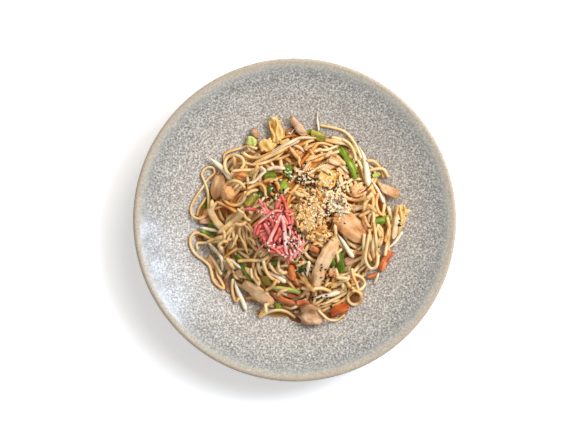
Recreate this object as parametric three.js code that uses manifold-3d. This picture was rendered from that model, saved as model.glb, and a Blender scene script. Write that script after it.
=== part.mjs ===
// Yakisoba: a heap of stir-fried wheat noodles with chicken, prawns, egg and vegetables, topped with
// pickled ginger, crisp fried onion and sesame, in the shallow stoneware coupe bowl that it is served in.
// Units are millimetres. +Z is up, and the origin is the centre of the bowl's foot on the table.
import * as THREE from 'three';
import { mergeVertices } from 'three/addons/utils/BufferGeometryUtils.js';
import Module from 'manifold-3d';

const wasm = await Module();
wasm.setup();

// ---- Driving dimensions -------------------------------------------------------------------------

const BOWL_RADIUS = 135;
const BOWL_HEIGHT = 36;
const WALL = 4.6;
const FOOT_RADIUS = 60;
const FOOT_WIDTH = 6;
const FOOT_HEIGHT = 3;
const WELL_RADIUS = 46; // the floor is level as far as this
const WALL_POWER = 1.45; // how late the wall turns up: 1 is a straight cone

const HEAP_RADIUS = 76; // of the bare heap, without the strands that lie round it
const HEAP_HEIGHT = 33;
const HEAP_EDGE = 1.6; // thickness of the heap at its outline
const EDGE_RUNOUT = 6; // how far past the outline what lies on that edge comes down to the bowl
const NOODLE_RADIUS = 1.5;
const CLEARANCE = 0.6; // between a piece and what it lies on
const NODE_GAP = 0.35; // least air between two solids
const SMALLEST_DETAIL = 0.12; // what is finer than this is smoothed away where pieces are joined
const SEED = 7; // of the random draws

// ---- Colours ------------------------------------------------------------------------------------

const finish = (color, roughness) => new THREE.MeshStandardMaterial({ color, roughness, metalness: 0 });
const STONEWARE = finish('#b3aea6', 0.35);
const NOODLE = finish('#cfa673', 0.4);
const CHICKEN = finish('#c99c74', 0.5);
const PRAWN = finish('#dd9462', 0.4);
const EGG = finish('#e3bd6b', 0.5);
const GREEN = finish('#5f8a2c', 0.4);
const PEPPER = finish('#c9562c', 0.35);
const SPROUT = finish('#e9d9bd', 0.35);
const ONION = finish('#d3b272', 0.35);
const GINGER = finish('#d9545c', 0.35);
const CRISP = finish('#d99f58', 0.6);

// ---- Small tools --------------------------------------------------------------------------------

const radians = THREE.MathUtils.degToRad;

// A seeded source of random numbers from 0 to 1.
function randomSource(seed) {
  let state = seed;
  return () => {
    state = (state * 1664525 + 1013904223) >>> 0;
    return state / 2 ** 32;
  };
}

// A closed three.js geometry as a solid that can be joined and tested.
function solidOf(geometry) {
  const loose = geometry.index ? geometry.toNonIndexed() : geometry.clone();
  loose.deleteAttribute('normal');
  loose.deleteAttribute('uv');
  const merged = mergeVertices(loose, 1e-3);
  const corners = merged.index.array;
  const triangles = [];
  for (let i = 0; i < corners.length; i += 3) {
    const [a, b, c] = corners.slice(i, i + 3);
    if (a !== b && b !== c && c !== a) triangles.push(a, b, c);
  }
  const vertProperties = merged.attributes.position.array;
  const triVerts = new Uint32Array(triangles);
  return new wasm.Manifold(new wasm.Mesh({ numProp: 3, vertProperties, triVerts }));
}

// The triangles of a mesh, parted into its closed surfaces.
function surfacesOf(corners, vertexCount) {
  const parent = Uint32Array.from({ length: vertexCount }, (_, i) => i);
  const rootOf = (i) => {
    while (parent[i] !== i) i = parent[i] = parent[parent[i]];
    return i;
  };
  for (let i = 0; i < corners.length; i += 3) {
    parent[rootOf(corners[i + 1])] = rootOf(corners[i]);
    parent[rootOf(corners[i + 2])] = rootOf(corners[i]);
  }
  const surfaces = new Map();
  for (let i = 0; i < corners.length; i += 3) {
    const root = rootOf(corners[i]);
    if (!surfaces.has(root)) surfaces.set(root, []);
    surfaces.get(root).push(...corners.slice(i, i + 3));
  }
  return [...surfaces.values()];
}

// The solid's outer surface as a geometry: sealed hollows are filled and loose scraps dropped.
function geometryOf(solid) {
  const mesh = solid.getMesh();
  const surfaces = surfacesOf(mesh.triVerts, mesh.vertProperties.length / 3);
  const largest = surfaces.reduce((best, surface) => (surface.length > best.length ? surface : best));
  const loose = new THREE.BufferGeometry();
  loose.setAttribute('position', new THREE.BufferAttribute(Float32Array.from(mesh.vertProperties), 3));
  loose.setIndex(largest);
  const geometry = mergeVertices(loose.toNonIndexed(), 1e-6);
  geometry.computeVertexNormals();
  return geometry;
}

// Moves every vertex of a geometry by a function that changes a Vector3.
function warp(geometry, move) {
  const position = geometry.attributes.position;
  const point = new THREE.Vector3();
  for (let i = 0; i < position.count; i++) {
    move(point.fromBufferAttribute(position, i));
    position.setXYZ(i, point.x, point.y, point.z);
  }
  return geometry;
}

// ---- The bowl -----------------------------------------------------------------------------------

const LIP_CENTRE = BOWL_RADIUS - WALL / 2;
const WALL_FLOOR = FOOT_HEIGHT + WALL / 2;
const WALL_RISE = BOWL_HEIGHT - WALL / 2 - WALL_FLOOR;

// The middle of the wall, as a height and a slope at a radius.
function wallMiddle(radius) {
  const share = Math.max(0, (radius - WELL_RADIUS) / (LIP_CENTRE - WELL_RADIUS));
  const height = WALL_FLOOR + WALL_RISE * share ** WALL_POWER;
  const slope = (WALL_RISE * WALL_POWER * share ** (WALL_POWER - 1)) / (LIP_CENTRE - WELL_RADIUS);
  return { height, slope };
}

// The inside of the bowl, which the food lies on.
function bowlHeight(radius) {
  const { height, slope } = wallMiddle(radius);
  return height + (WALL / 2) * Math.hypot(1, slope);
}

// A point on one face of the wall: side is 1 for the inside and -1 for the outside.
function wallPoint(radius, side) {
  const { height, slope } = wallMiddle(radius);
  const length = Math.hypot(1, slope);
  return new THREE.Vector2(
    radius - (side * WALL * slope) / (2 * length),
    height + (side * WALL) / (2 * length),
  );
}

function makeBowl() {
  const footInner = FOOT_RADIUS - FOOT_WIDTH / 2;
  const footOuter = FOOT_RADIUS + FOOT_WIDTH / 2;
  const chamfer = 1;
  const outside = [84, 108, LIP_CENTRE].map((radius) => wallPoint(radius, -1));
  const inside = [LIP_CENTRE, 117, 101, 85, 70, 57, WELL_RADIUS].map((radius) => wallPoint(radius, 1));
  const lip = [-32, 0, 45, 90].map((angle) => {
    const reach = new THREE.Vector2(WALL / 2, 0).rotateAround(new THREE.Vector2(), radians(angle));
    return reach.add(new THREE.Vector2(LIP_CENTRE, wallMiddle(LIP_CENTRE).height));
  });
  const profile = [
    new THREE.Vector2(0, FOOT_HEIGHT),
    new THREE.Vector2(footInner, FOOT_HEIGHT),
    new THREE.Vector2(footInner + chamfer, 0),
    new THREE.Vector2(footOuter - chamfer, 0),
    new THREE.Vector2(footOuter, wallPoint(footOuter, -1).y),
    ...outside,
    ...lip,
    ...inside,
    new THREE.Vector2(0, FOOT_HEIGHT + WALL),
  ];
  return new THREE.LatheGeometry(profile, 56).rotateX(Math.PI / 2);
}

// ---- The bare heap ------------------------------------------------------------------------------

// The heap's uneven outline: it reaches furthest to the right and draws in on the left.
function heapRadius(angle) {
  const lobes = 1.6 * Math.sin(3 * angle + 0.4) + 1.1 * Math.sin(5 * angle + 2);
  return HEAP_RADIUS + 5 * Math.cos(angle + radians(20)) + lobes;
}

// The top of the bare heap at a place, which runs out into the bowl past the heap's outline.
function restHeight(x, y) {
  const radius = Math.hypot(x, y);
  const reach = heapRadius(Math.atan2(y, x));
  const share = Math.min(1, radius / reach);
  const dome = HEAP_HEIGHT * (1 - share ** 2.3) ** 1.1;
  const humps = 1.1 * Math.sin(x / 15 + 1) * Math.cos(y / 13) * (1 - share ** 4);
  const edge = HEAP_EDGE * (1 - THREE.MathUtils.smoothstep(radius, reach, reach + EDGE_RUNOUT));
  return bowlHeight(radius) + edge + dome + humps;
}

// The height at which something lies a given distance clear of the heap or the bowl.
function clearHeight(x, y, distance) {
  const height = restHeight(x, y);
  const slopeX = restHeight(x + 1, y) - height;
  const slopeY = restHeight(x, y + 1) - height;
  return height + distance * Math.hypot(1, slopeX, slopeY);
}

function makeHeap() {
  const shares = [0, 0.17, 0.34, 0.5, 0.64, 0.76, 0.87, 0.95, 1];
  const under = [0.97, 0.75, 0.45, 0];
  const profile = [
    ...under.toReversed().map((share) => new THREE.Vector2(share, 0)),
    ...shares.toReversed().map((share) => new THREE.Vector2(share, 1)),
  ];
  const geometry = new THREE.LatheGeometry(profile, 30).rotateX(Math.PI / 2);
  return warp(geometry, (point) => {
    const isTop = point.z > 0.5;
    const share = Math.hypot(point.x, point.y);
    const angle = Math.atan2(point.y, point.x);
    const radius = share * heapRadius(angle);
    point.x = radius * Math.cos(angle);
    point.y = radius * Math.sin(angle);
    point.z = isTop ? restHeight(point.x, point.y) : bowlHeight(radius) + CLEARANCE;
  });
}

// ---- Shapes of the toppings, each lying along X with its underside at height 0 -------------------

// Meat: a strip cut across the grain, with square shoulders, an uneven girth and a few ridges.
function meatStrip([length, width, thickness]) {
  const square = (value) => Math.sign(value) * Math.abs(value) ** 0.75;
  return warp(new THREE.SphereGeometry(1, 9, 6).rotateZ(Math.PI / 2), (point) => {
    const uneven = 1 + 0.09 * Math.sin(4 * point.x + length) + 0.05 * Math.cos(9 * point.x + width);
    point.x = (square(point.x) * length) / 2;
    point.y = (square(point.y) * uneven * width) / 2;
    point.z = ((1 + square(point.z) * uneven) * thickness) / 2;
  });
}

// A flat cut of vegetable: a slab that tapers to its ends, bends sideways and arches a little.
function slab([length, width, thickness], { bend = 0, arch = 0, taper = 0.35, steps = 6 } = {}) {
  return warp(new THREE.BoxGeometry(1, 1, 1, steps, 1, 1), (point) => {
    const along = 2 * point.x;
    const girth = 1 - taper * along ** 2;
    point.y = point.y * width * girth + bend * (1 - along ** 2);
    point.z = (point.z + 0.5) * thickness * (1 - 0.3 * along ** 2) + arch * (1 - along ** 2);
    point.x *= length;
  });
}

// A bean sprout: a round stem that swells in its middle, thins to its tail and bends.
function stem([length, width], { bend = 0 } = {}) {
  return warp(new THREE.CylinderGeometry(0.5, 0.5, 1, 6, 6).rotateZ(-Math.PI / 2), (point) => {
    const girth = width * (0.62 + 0.38 * Math.cos(2.2 * point.x - 0.3) - 0.55 * Math.max(0, point.x) ** 2);
    point.y = point.y * girth + bend * (1 - 4 * point.x ** 2);
    point.z = point.z * girth + width / 2;
    point.x *= length;
  });
}

// A prawn: a plump body that thins to its tail, curled round a half circle, with ribs across it.
function prawnBody([length, width, thickness]) {
  const sweep = radians(200);
  const ring = (length - width) / 2;
  return warp(new THREE.CylinderGeometry(0.5, 0.5, 1, 7, 8).rotateZ(-Math.PI / 2), (point) => {
    const ribs = 1 + 0.08 * Math.cos(26 * point.x);
    const girth = ribs * (0.95 - 0.6 * (point.x + 0.15) ** 2);
    const angle = point.x * sweep;
    const reach = ring + point.y * width * girth;
    point.z = (point.z * girth + 0.5) * thickness;
    point.x = reach * Math.sin(angle);
    point.y = reach * Math.cos(angle);
  });
}

// Egg: a thin folded sheet with round corners and deep waves, both faces alike.
function foldedSheet([length, width, thickness], waves = 3) {
  return warp(new THREE.BoxGeometry(2, 2, 1, 5, 4, 1), (point) => {
    const x = point.x * Math.sqrt(1 - point.y ** 2 / 2.6);
    const y = point.y * Math.sqrt(1 - point.x ** 2 / 2.6);
    const ripple = 1 + Math.sin(waves * x + 0.8) * Math.cos(waves * 0.8 * y);
    point.z = (point.z + 0.5) * thickness + ripple * thickness * 0.45;
    point.x = (x * length) / 2;
    point.y = (y * width) / 2;
  });
}

// Onion: one layer of a cut bulb, a long petal that is cupped across its width and curves round.
function petal([length, width, thickness], { sweep = 90 } = {}) {
  const angle = radians(sweep);
  const bend = length / angle;
  return warp(new THREE.BoxGeometry(1, 1, 1, 8, 2, 1), (point) => {
    const turn = point.x * angle;
    const side = point.y * width * (1 - 1.6 * point.x ** 2);
    const cup = (1 - 4 * point.y ** 2) * width * 0.12;
    point.z = (point.z + 0.5) * thickness + cup;
    point.x = (bend + side) * Math.sin(turn);
    point.y = (bend + side) * Math.cos(turn) - bend;
  });
}

// Lays a shape on the heap at a place, turned by an angle, and bent to the slope that it lies on.
function layOnHeap(geometry, [x, y], turn, lift) {
  const cos = Math.cos(radians(turn));
  const sin = Math.sin(radians(turn));
  return warp(geometry, (point) => {
    const east = x + point.x * cos - point.y * sin;
    const north = y + point.x * sin + point.y * cos;
    point.set(east, north, clearHeight(east, north, CLEARANCE) + lift + point.z);
  });
}

// ---- Toppings and where they lie ----------------------------------------------------------------

// Each row is a place, a direction in degrees, and a length, width and thickness.
const KINDS = [
  {
    name: 'chicken', material: CHICKEN, shape: meatStrip, rows: [
      [[48, -6], -38, [36, 19, 8]],
      [[24.5, -37], 64, [47, 12, 9]],
      [[-28.5, -61], -37, [31, 11, 8]],
      [[14.5, -80], -18, [23, 17, 10]],
      [[-64, 27.5], 80, [21, 8, 6]],
      [[3, 79], -52, [21, 8, 6]],
      [[81.5, 24.5], -25, [17, 10, 7]],
      [[-33, 75], -60, [10, 7, 5]],
      [[-79, -2], -10, [12, 8, 5]],
    ],
  },
  {
    name: 'prawn', material: PRAWN, shape: prawnBody, rows: [
      [[-54, 22], 100, [15, 7, 7]],
      [[53, 24], 20, [15, 7, 7]],
      [[-45, 38], 0, [14, 6, 6]],
    ],
  },
  {
    name: 'egg', material: EGG, shape: foldedSheet, rows: [
      [[-15.5, 76], -80, [23, 11, 3]],
      [[-29, 63], 30, [13, 13, 3]],
      [[28, 35], 60, [18, 16, 3]],
      [[88, 3], 75, [22, 10, 3]],
    ],
  },
  {
    name: 'green', material: GREEN, shape: slab, rows: [
      [[-43, 67], 10, [10, 9, 5], { taper: 0.6 }],
      [[44.5, 47.5], -60, [30, 6.5, 4], { bend: 1.5 }],
      [[20, 71], -25, [14, 6, 3]],
      [[-20, 36], 5, [10, 6, 3]],
      [[-5, 41], 78, [11, 6, 3]],
      [[-10, 28], 62, [11, 7, 3]],
      [[-36, 17], 50, [13, 5, 3]],
      [[-72, 20], 88, [11, 4, 3]],
      [[-68.5, -9], -25, [11, 4.5, 3]],
      [[-74.5, -15], -30, [12, 4, 3]],
      [[-46, -37.5], -61, [20, 5, 3]],
      [[41, -38], -84, [17, 5, 3]],
      [[72.5, -1], 25, [14, 5, 3]],
      [[-14, -74], -85, [8, 5, 3]],
      [[-24, -51], -65, [9, 5, 3]],
      [[-6, -57.8], -9, [26, 4, 3.5], { bend: 1 }],
    ],
  },
  {
    name: 'pepper', material: PEPPER, shape: slab, rows: [
      [[78, -35], 62, [19, 7, 4], { bend: 1.5, arch: 1 }],
      [[-4, -66.5], -24, [20, 5, 3.5], { bend: -1, arch: 1 }],
      [[11, -67], 0, [8, 4, 3]],
      [[38, -75.5], 18, [17, 8, 4], { arch: 2 }],
      [[-2.5, -44], -85, [13, 6, 3.5], { arch: 1 }],
      [[16, -24], -35, [10, 5, 3]],
      [[66, -47], 25, [9, 4, 3]],
    ],
  },
  {
    name: 'sprout', material: SPROUT, shape: stem, rows: [
      [[58, 45], -78, [34, 5], { bend: 2 }],
      [[70.5, 24], -61, [23, 3.4]],
      [[-62, 43], -46, [24, 3.8], { bend: 1 }],
      [[-46, -62], -69, [31, 4.2], { bend: -1 }],
      [[19.5, 83], -86, [16, 2.4]],
      [[27.5, -64], 12, [23, 4.4], { bend: 1 }],
      [[11, -41], 85, [14, 4.2]],
      [[43, -21], -55, [25, 4], { bend: -1 }],
      [[-17, -46.5], -29, [23, 4.4]],
      [[-68, -26], -48, [18, 3.2]],
      [[84, -17.5], 48, [21, 3], { bend: -1 }],
      [[-12, 57], 30, [40, 4], { bend: 3 }],
    ],
  },
  {
    name: 'onion', material: ONION, shape: petal, rows: [
      [[-68, -1], 128, [17, 6, 2.2], { sweep: 70 }],
      [[-52.5, 1], 45, [15, 7, 2.2], { sweep: 40 }],
      [[-52, -15], 70, [20, 5, 2.2], { sweep: 30 }],
      [[-43, -15], 100, [19, 5, 2.2], { sweep: 30 }],
    ],
  },
];

const LIFT_STEP = 0.8; // a topping that meets another is raised by this much until it lies clear on it

// ---- Heaps on top: shreds of ginger and crumbs of fried onion ------------------------------------

// A low mound of a given reach and height.
function mound([x, y], [length, width, height], turn) {
  const geometry = warp(new THREE.SphereGeometry(1, 10, 6), (point) => {
    point.set((point.x * length) / 2, (point.y * width) / 2, ((1 + point.z) * height) / 2);
  });
  return layOnHeap(geometry, [x, y], turn, 0);
}

// The height of a mound's top over the heap at a place.
function moundTop([x, y], [length, width, height], turn, east, north) {
  const cos = Math.cos(radians(turn));
  const sin = Math.sin(radians(turn));
  const along = (2 * ((east - x) * cos + (north - y) * sin)) / length;
  const across = (2 * ((north - y) * cos - (east - x) * sin)) / width;
  const left = Math.max(0, 1 - along ** 2 - across ** 2);
  return (height * (1 + Math.sqrt(left))) / 2;
}

// Joins pieces to a core, without those that come too close to the other solids.
function fuse(core, extras, others) {
  const clear = extras.map(solidOf).filter((extra) => isClear(extra, others));
  return clear.reduce((joined, extra) => joined.add(extra), core);
}

function isClear(solid, others) {
  return others.every((other) => solid.minGap(other, NODE_GAP) >= NODE_GAP);
}

const GINGER_MOUND = [[-15, -9], [34, 30, 9], -30];
const GINGER_SHREDS = 13;
const SHRED_WIDTH = 2.1;

// Pickled ginger: fine square shreds that fan out over a mound from where they were set down.
function gingerShreds(random) {
  const [[x, y], size, turn] = GINGER_MOUND;
  return Array.from({ length: GINGER_SHREDS }, (_, i) => {
    const angle = (i / GINGER_SHREDS) * 2 * Math.PI + random() * 0.3;
    const reach = 13 + 9 * random();
    const swing = 0.5 * (random() - 0.5);
    return warp(new THREE.BoxGeometry(1, 1, 1, 4, 1, 1), (point) => {
      const share = point.x + 0.5;
      const heading = angle + swing * share;
      const along = 2 + reach * share;
      const across = point.y * SHRED_WIDTH * (1 - 0.5 * share ** 3);
      const east = x + along * Math.cos(heading) - across * Math.sin(heading);
      const north = y + along * Math.sin(heading) + across * Math.cos(heading);
      const base = restHeight(east, north) + CLEARANCE;
      const top = moundTop([x, y], size, turn, east, north);
      point.set(east, north, base + top - SHRED_WIDTH * 0.4 + (point.z + 0.5) * SHRED_WIDTH);
    });
  });
}

const CRISP_MOUND = [[13, 5], [32, 21, 6], 70];
const CRISP_CRUMBS = 14;

// Fried onion: short flat crumbs that stand up in all directions from a mound.
function crispCrumbs(random) {
  const [[x, y], size, turn] = CRISP_MOUND;
  return Array.from({ length: CRISP_CRUMBS }, (_, i) => {
    const share = Math.sqrt((i + 0.5) / CRISP_CRUMBS) * 0.9;
    const angle = i * 2.4;
    const along = (share * Math.cos(angle) * size[0]) / 2;
    const across = (share * Math.sin(angle) * size[1]) / 2;
    const east = x + along * Math.cos(radians(turn)) - across * Math.sin(radians(turn));
    const north = y + along * Math.sin(radians(turn)) + across * Math.cos(radians(turn));
    const crumb = new THREE.BoxGeometry(5 + 3 * random(), 2.6, 2);
    crumb.rotateY(0.6 * (random() - 0.5)).rotateX(random()).rotateZ(random() * Math.PI);
    const height = restHeight(east, north) + CLEARANCE + moundTop([x, y], size, turn, east, north);
    return crumb.translate(east, north, height);
  });
}

// ---- Noodles ------------------------------------------------------------------------------------

// Strands that stand out at the edge or as rings, as the places they pass, seen from above.
const RINGS = [
  { centre: [-51.5, 22], radius: 12.5, from: 30, sweep: 330 },
  { centre: [51, -65], radius: 6.8, from: 120, sweep: 340 },
];
const STRANDS = [
  [[-58, 13], [-66, 11.5], [-75, 7.5], [-82, 5], [-87, 7], [-87, 13], [-82.5, 21], [-77.5, 29], [-73.5, 35],
    [-70, 40], [-71, 45], [-75.5, 44], [-78, 39], [-77, 32], [-76.5, 24], [-76, 15], [-72, 11], [-62, 12.5]],
  [[-60, -18], [-70, -18], [-77, -15], [-83, -11.5], [-88, -16], [-87.5, -23], [-83.5, -30], [-76.5, -35],
    [-71.5, -42], [-69.5, -49], [-65, -55], [-60, -59], [-52, -56]],
  [[-56, -30], [-64, -36], [-65, -44], [-62.5, -51], [-57, -60], [-53, -68], [-46, -58]],
  [[12, 60], [22, 78], [32, 77.5], [41, 75], [47, 70.5], [51, 64], [50, 55], [42, 62], [30, 66]],
  [[-20, -60], [-25, -73], [-29.5, -81], [-21, -78.5], [-14, -81], [-7, -80], [-1, -82], [2, -74], [10, -64]],
  [[-34, 54], [-46, 60], [-56, 57], [-60, 51], [-58.5, 44], [-53, 47], [-44, 49], [-34, 47]],
  [[60, 12], [63, -2], [62, -16], [60.5, -28], [62, -38], [66, -41.5], [69.5, -36], [69, -24], [68, -12],
    [66, 6]],
  [[60, -48], [66, -54], [62, -60], [54, -53], [46, -50], [38, -54], [44, -60], [50, -55]],
];
const WANDERERS = 60; // strands that wind over the heap
const WANDER_STEP = 8;
const WANDER_STEPS = 7;
const STRAND_STEP = 7; // length of one straight piece of a strand
const SAMPLE_STEP = 2; // distance between the places where a strand is tested
const NOODLE_SIDES = 4;
const SHORTEST = 20; // a strand that toppings cut shorter than this is left out

// A strand that winds about over its own share of the heap, and a little way out at its edge.
function wanderPath(index, random) {
  const spread = Math.sqrt((index + 0.5) / WANDERERS) * HEAP_RADIUS;
  const bend = 0.35 * (random() - 0.5);
  const spot = new THREE.Vector2(spread, 0).rotateAround(new THREE.Vector2(), index * 2.4);
  let heading = random() * 2 * Math.PI;
  const points = [];
  for (let step = 0; step <= WANDER_STEPS; step++) {
    const angle = spot.angle();
    const reach = Math.min(1, (heapRadius(angle) + 5) / spot.length());
    points.push([spot.x * reach, spot.y * reach]);
    heading += bend + 0.6 * (random() - 0.5);
    spot.x += WANDER_STEP * Math.cos(heading);
    spot.y += WANDER_STEP * Math.sin(heading);
  }
  return points;
}

function ringPath({ centre: [x, y], radius, from, sweep }) {
  const steps = 12;
  return Array.from({ length: steps + 1 }, (_, i) => {
    const angle = radians(from + (sweep * i) / steps);
    return [x + radius * Math.cos(angle), y + radius * Math.sin(angle)];
  });
}

// The middle of a noodle at a place: half sunk in the heap, or clear of the bowl beyond it.
function strandPoint([x, y]) {
  const radius = Math.hypot(x, y);
  const onHeap = restHeight(x, y) + NOODLE_RADIUS * 0.35;
  const steepness = Math.hypot(1, wallMiddle(radius).slope);
  const onBowl = bowlHeight(radius) + (NOODLE_RADIUS + CLEARANCE) * steepness;
  return new THREE.Vector3(x, y, Math.max(onHeap, onBowl));
}

// The runs of a path that no topping crosses, as curves, without those that are too short.
function clearRuns(path, isBlocked) {
  const whole = new THREE.CatmullRomCurve3(path.map(strandPoint));
  const samples = whole.getSpacedPoints(Math.round(whole.getLength() / SAMPLE_STEP));
  const runs = [[]];
  for (const sample of samples) {
    const point = strandPoint([sample.x, sample.y]);
    if (isBlocked(point)) runs.push([]);
    else runs.at(-1).push(point);
  }
  return runs
    .filter((run) => run.length * SAMPLE_STEP > SHORTEST)
    .map((run) => new THREE.CatmullRomCurve3(run.filter((_, i) => i % 2 === 0)));
}

function makeStrand(curve) {
  const section = new THREE.Shape();
  for (let side = 0; side < NOODLE_SIDES; side++) {
    const angle = (side / NOODLE_SIDES) * 2 * Math.PI;
    const corner = [NOODLE_RADIUS * Math.cos(angle), NOODLE_RADIUS * Math.sin(angle)];
    if (side) section.lineTo(...corner);
    else section.moveTo(...corner);
  }
  const steps = Math.ceil(curve.getLength() / STRAND_STEP);
  return new THREE.ExtrudeGeometry(section, { steps, extrudePath: curve, bevelEnabled: false });
}

// ---- Sesame -------------------------------------------------------------------------------------

const SESAME = 18;
const SESAME_SIZE = [3, 1.9, 1.2];
const SESAME_BAND = { from: [2, 34], to: [24, -52], spread: 13 };

function makeSeed([x, y, z], turn) {
  const [length, width, thickness] = SESAME_SIZE;
  const seed = new THREE.SphereGeometry(0.5, 5, 4).scale(length, width, thickness);
  return seed.rotateZ(turn).translate(x, y, z + thickness * 0.15);
}

// ---- Assembly -----------------------------------------------------------------------------------

const yakisoba = new THREE.Group();
const pieces = []; // every food piece but the noodles: { name, material, solid }
const solidIn = (node) => node.solid;

// Raises a topping from the heap until it lies clear of those that were set down before it.
function setDown(kind, number, [place, turn, size, options]) {
  let lift = 0;
  let solid;
  do {
    solid = solidOf(layOnHeap(kind.shape(size, options), place, turn, lift));
    lift += LIFT_STEP;
  } while (!isClear(solid, [bowl, noodles, ...pieces].map(solidIn)));
  pieces.push({ name: `${kind.name}_${number}`, material: kind.material, solid });
}

const bowl = { name: 'bowl', material: STONEWARE, solid: solidOf(makeBowl()) };
const noodles = { name: 'noodles', material: NOODLE, solid: solidOf(makeHeap()) };
const random = randomSource(SEED);
const crispCore = solidOf(mound(...CRISP_MOUND));
const ginger = fuse(solidOf(mound(...GINGER_MOUND)), gingerShreds(random), [crispCore]);
const crisps = fuse(crispCore, crispCrumbs(random), [ginger]);
pieces.push({ name: 'ginger', material: GINGER, solid: ginger });
pieces.push({ name: 'fried_onion', material: CRISP, solid: crisps });
for (const kind of KINDS) kind.rows.forEach((row, i) => setDown(kind, i + 1, row));

// Noodles go round the toppings: a strand keeps the parts of it that are clear of them all.
const probe = new THREE.SphereGeometry(NOODLE_RADIUS + NODE_GAP, 6, 4);
const isBlocked = (point) => {
  const ball = solidOf(probe.clone().translate(point.x, point.y, point.z));
  return !isClear(ball, pieces.map(solidIn));
};
const paths = [...STRANDS, ...RINGS.map(ringPath)];
for (let i = 0; i < WANDERERS; i++) paths.push(wanderPath(i, random));
for (const curve of paths.flatMap((path) => clearRuns(path, isBlocked))) {
  const strand = solidOf(makeStrand(curve));
  if (isClear(strand, [bowl, ...pieces].map(solidIn))) noodles.solid = noodles.solid.add(strand);
}

// Sesame falls from above and sticks to the first piece that it meets, if it is clear of the rest.
const nodes = [bowl, noodles, ...pieces];
const meshOf = (node) => new THREE.Mesh(geometryOf(node.solid), node.material);
const targets = nodes.map(meshOf);
for (let i = 0, stuck = 0; stuck < SESAME && i < 400; i++) {
  const share = random();
  const sideways = SESAME_BAND.spread * (random() + random() + random() - 1.5);
  const x = THREE.MathUtils.lerp(SESAME_BAND.from[0], SESAME_BAND.to[0], share) + sideways;
  const y = THREE.MathUtils.lerp(SESAME_BAND.from[1], SESAME_BAND.to[1], share) + sideways * 0.3;
  const fall = new THREE.Raycaster(new THREE.Vector3(x, y, 200), new THREE.Vector3(0, 0, -1));
  const [hit] = fall.intersectObjects(targets);
  const node = nodes[targets.indexOf(hit.object)];
  const seed = solidOf(makeSeed(hit.point.toArray(), random() * Math.PI));
  if (!isClear(seed, nodes.filter((other) => other !== node).map(solidIn))) continue;
  node.solid = node.solid.add(seed);
  stuck += 1;
}

for (const node of nodes) {
  if (node !== bowl) node.solid = node.solid.simplify(SMALLEST_DETAIL);
  const mesh = meshOf(node);
  mesh.name = node.name;
  yakisoba.add(mesh);
}

export default yakisoba;
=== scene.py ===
# %% [markdown]
# # Yakisoba in a coupe bowl
# Yakisoba is a heap of stir-fried wheat noodles with strips of meat, small prawns, egg and cut vegetables.
# It is finished with shreds of pickled ginger, crisp fried onion and sesame, and served in a wide, shallow
# bowl of speckled stoneware. This lesson builds the looks of that dish around a imported model, which gives
# every piece its place. The frame is loaded first. The finished dish must fit in it.

# %% The frame
import math
from functools import partial

import bpy
import numpy as np
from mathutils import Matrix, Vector, noise
from mathutils.bvhtree import BVHTree


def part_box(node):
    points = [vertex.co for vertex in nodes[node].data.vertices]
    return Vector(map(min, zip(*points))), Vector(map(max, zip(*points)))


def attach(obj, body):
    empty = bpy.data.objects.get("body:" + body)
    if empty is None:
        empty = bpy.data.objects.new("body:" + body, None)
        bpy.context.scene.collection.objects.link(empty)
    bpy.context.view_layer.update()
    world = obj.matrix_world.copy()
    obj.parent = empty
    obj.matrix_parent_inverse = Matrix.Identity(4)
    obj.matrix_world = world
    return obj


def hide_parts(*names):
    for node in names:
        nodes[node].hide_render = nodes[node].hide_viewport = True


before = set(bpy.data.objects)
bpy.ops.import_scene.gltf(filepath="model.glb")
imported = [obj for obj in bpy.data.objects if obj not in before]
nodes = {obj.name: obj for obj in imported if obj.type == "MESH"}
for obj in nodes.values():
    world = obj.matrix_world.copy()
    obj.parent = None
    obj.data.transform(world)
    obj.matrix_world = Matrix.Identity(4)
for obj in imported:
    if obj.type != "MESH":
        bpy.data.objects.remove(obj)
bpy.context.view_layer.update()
MM = 0.001
print("nodes in the frame:", len(nodes))

# %% [markdown]
# Every finish below is a tree of shader nodes. One small function adds a node with its settings and its
# links, and another turns a hex colour, as a paint chart gives it, into the linear numbers that the shader
# needs. A setting that names a property sets it, stops fill a colour ramp, and any other key names a
# socket.
#
# Cooked foods look alike in one way: a mottled colour, a little light that soaks in, and a thin wet coat of
# oil or sauce. So one function makes them all, from a ramp of the food's own colours.

# %% Helpers for finishes
def colour(code):
    """An sRGB hex code as linear red, green, blue and alpha."""
    shares = [int(code[i:i + 2], 16) / 255 for i in (1, 3, 5)]
    linear = [c / 12.92 if c <= 0.04045 else ((c + 0.055) / 1.055) ** 2.4 for c in shares]
    return (*linear, 1.0)


def add(tree, kind, settings, links=None):
    """Adds a shader node. settings holds properties and socket values, and links holds sockets to join.

    The stops of a colour ramp are a setting too: pairs of a place from 0 to 1 and a hex colour."""
    made = tree.nodes.new("ShaderNode" + kind)
    for key, value in settings.items():
        if key == "stops":
            elements = made.color_ramp.elements
            while len(elements) < len(value):
                elements.new(0.5)
            for element, (place, code) in zip(elements, value):
                element.position = place
                element.color = colour(code)
        elif isinstance(key, str) and hasattr(made, key):
            setattr(made, key, value)
        else:
            made.inputs[key].default_value = value
    for key, source in (links or {}).items():
        tree.links.new(source, made.inputs[key])
    return made


def start_material(name):
    """An empty node material and its shader, joined to the output."""
    material = bpy.data.materials.new(name)
    material.use_nodes = True
    tree = material.node_tree
    tree.nodes.clear()
    shader = add(tree, "BsdfPrincipled", {})
    add(tree, "OutputMaterial", {}, {"Surface": shader.outputs["BSDF"]})
    return material, tree, shader


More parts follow.
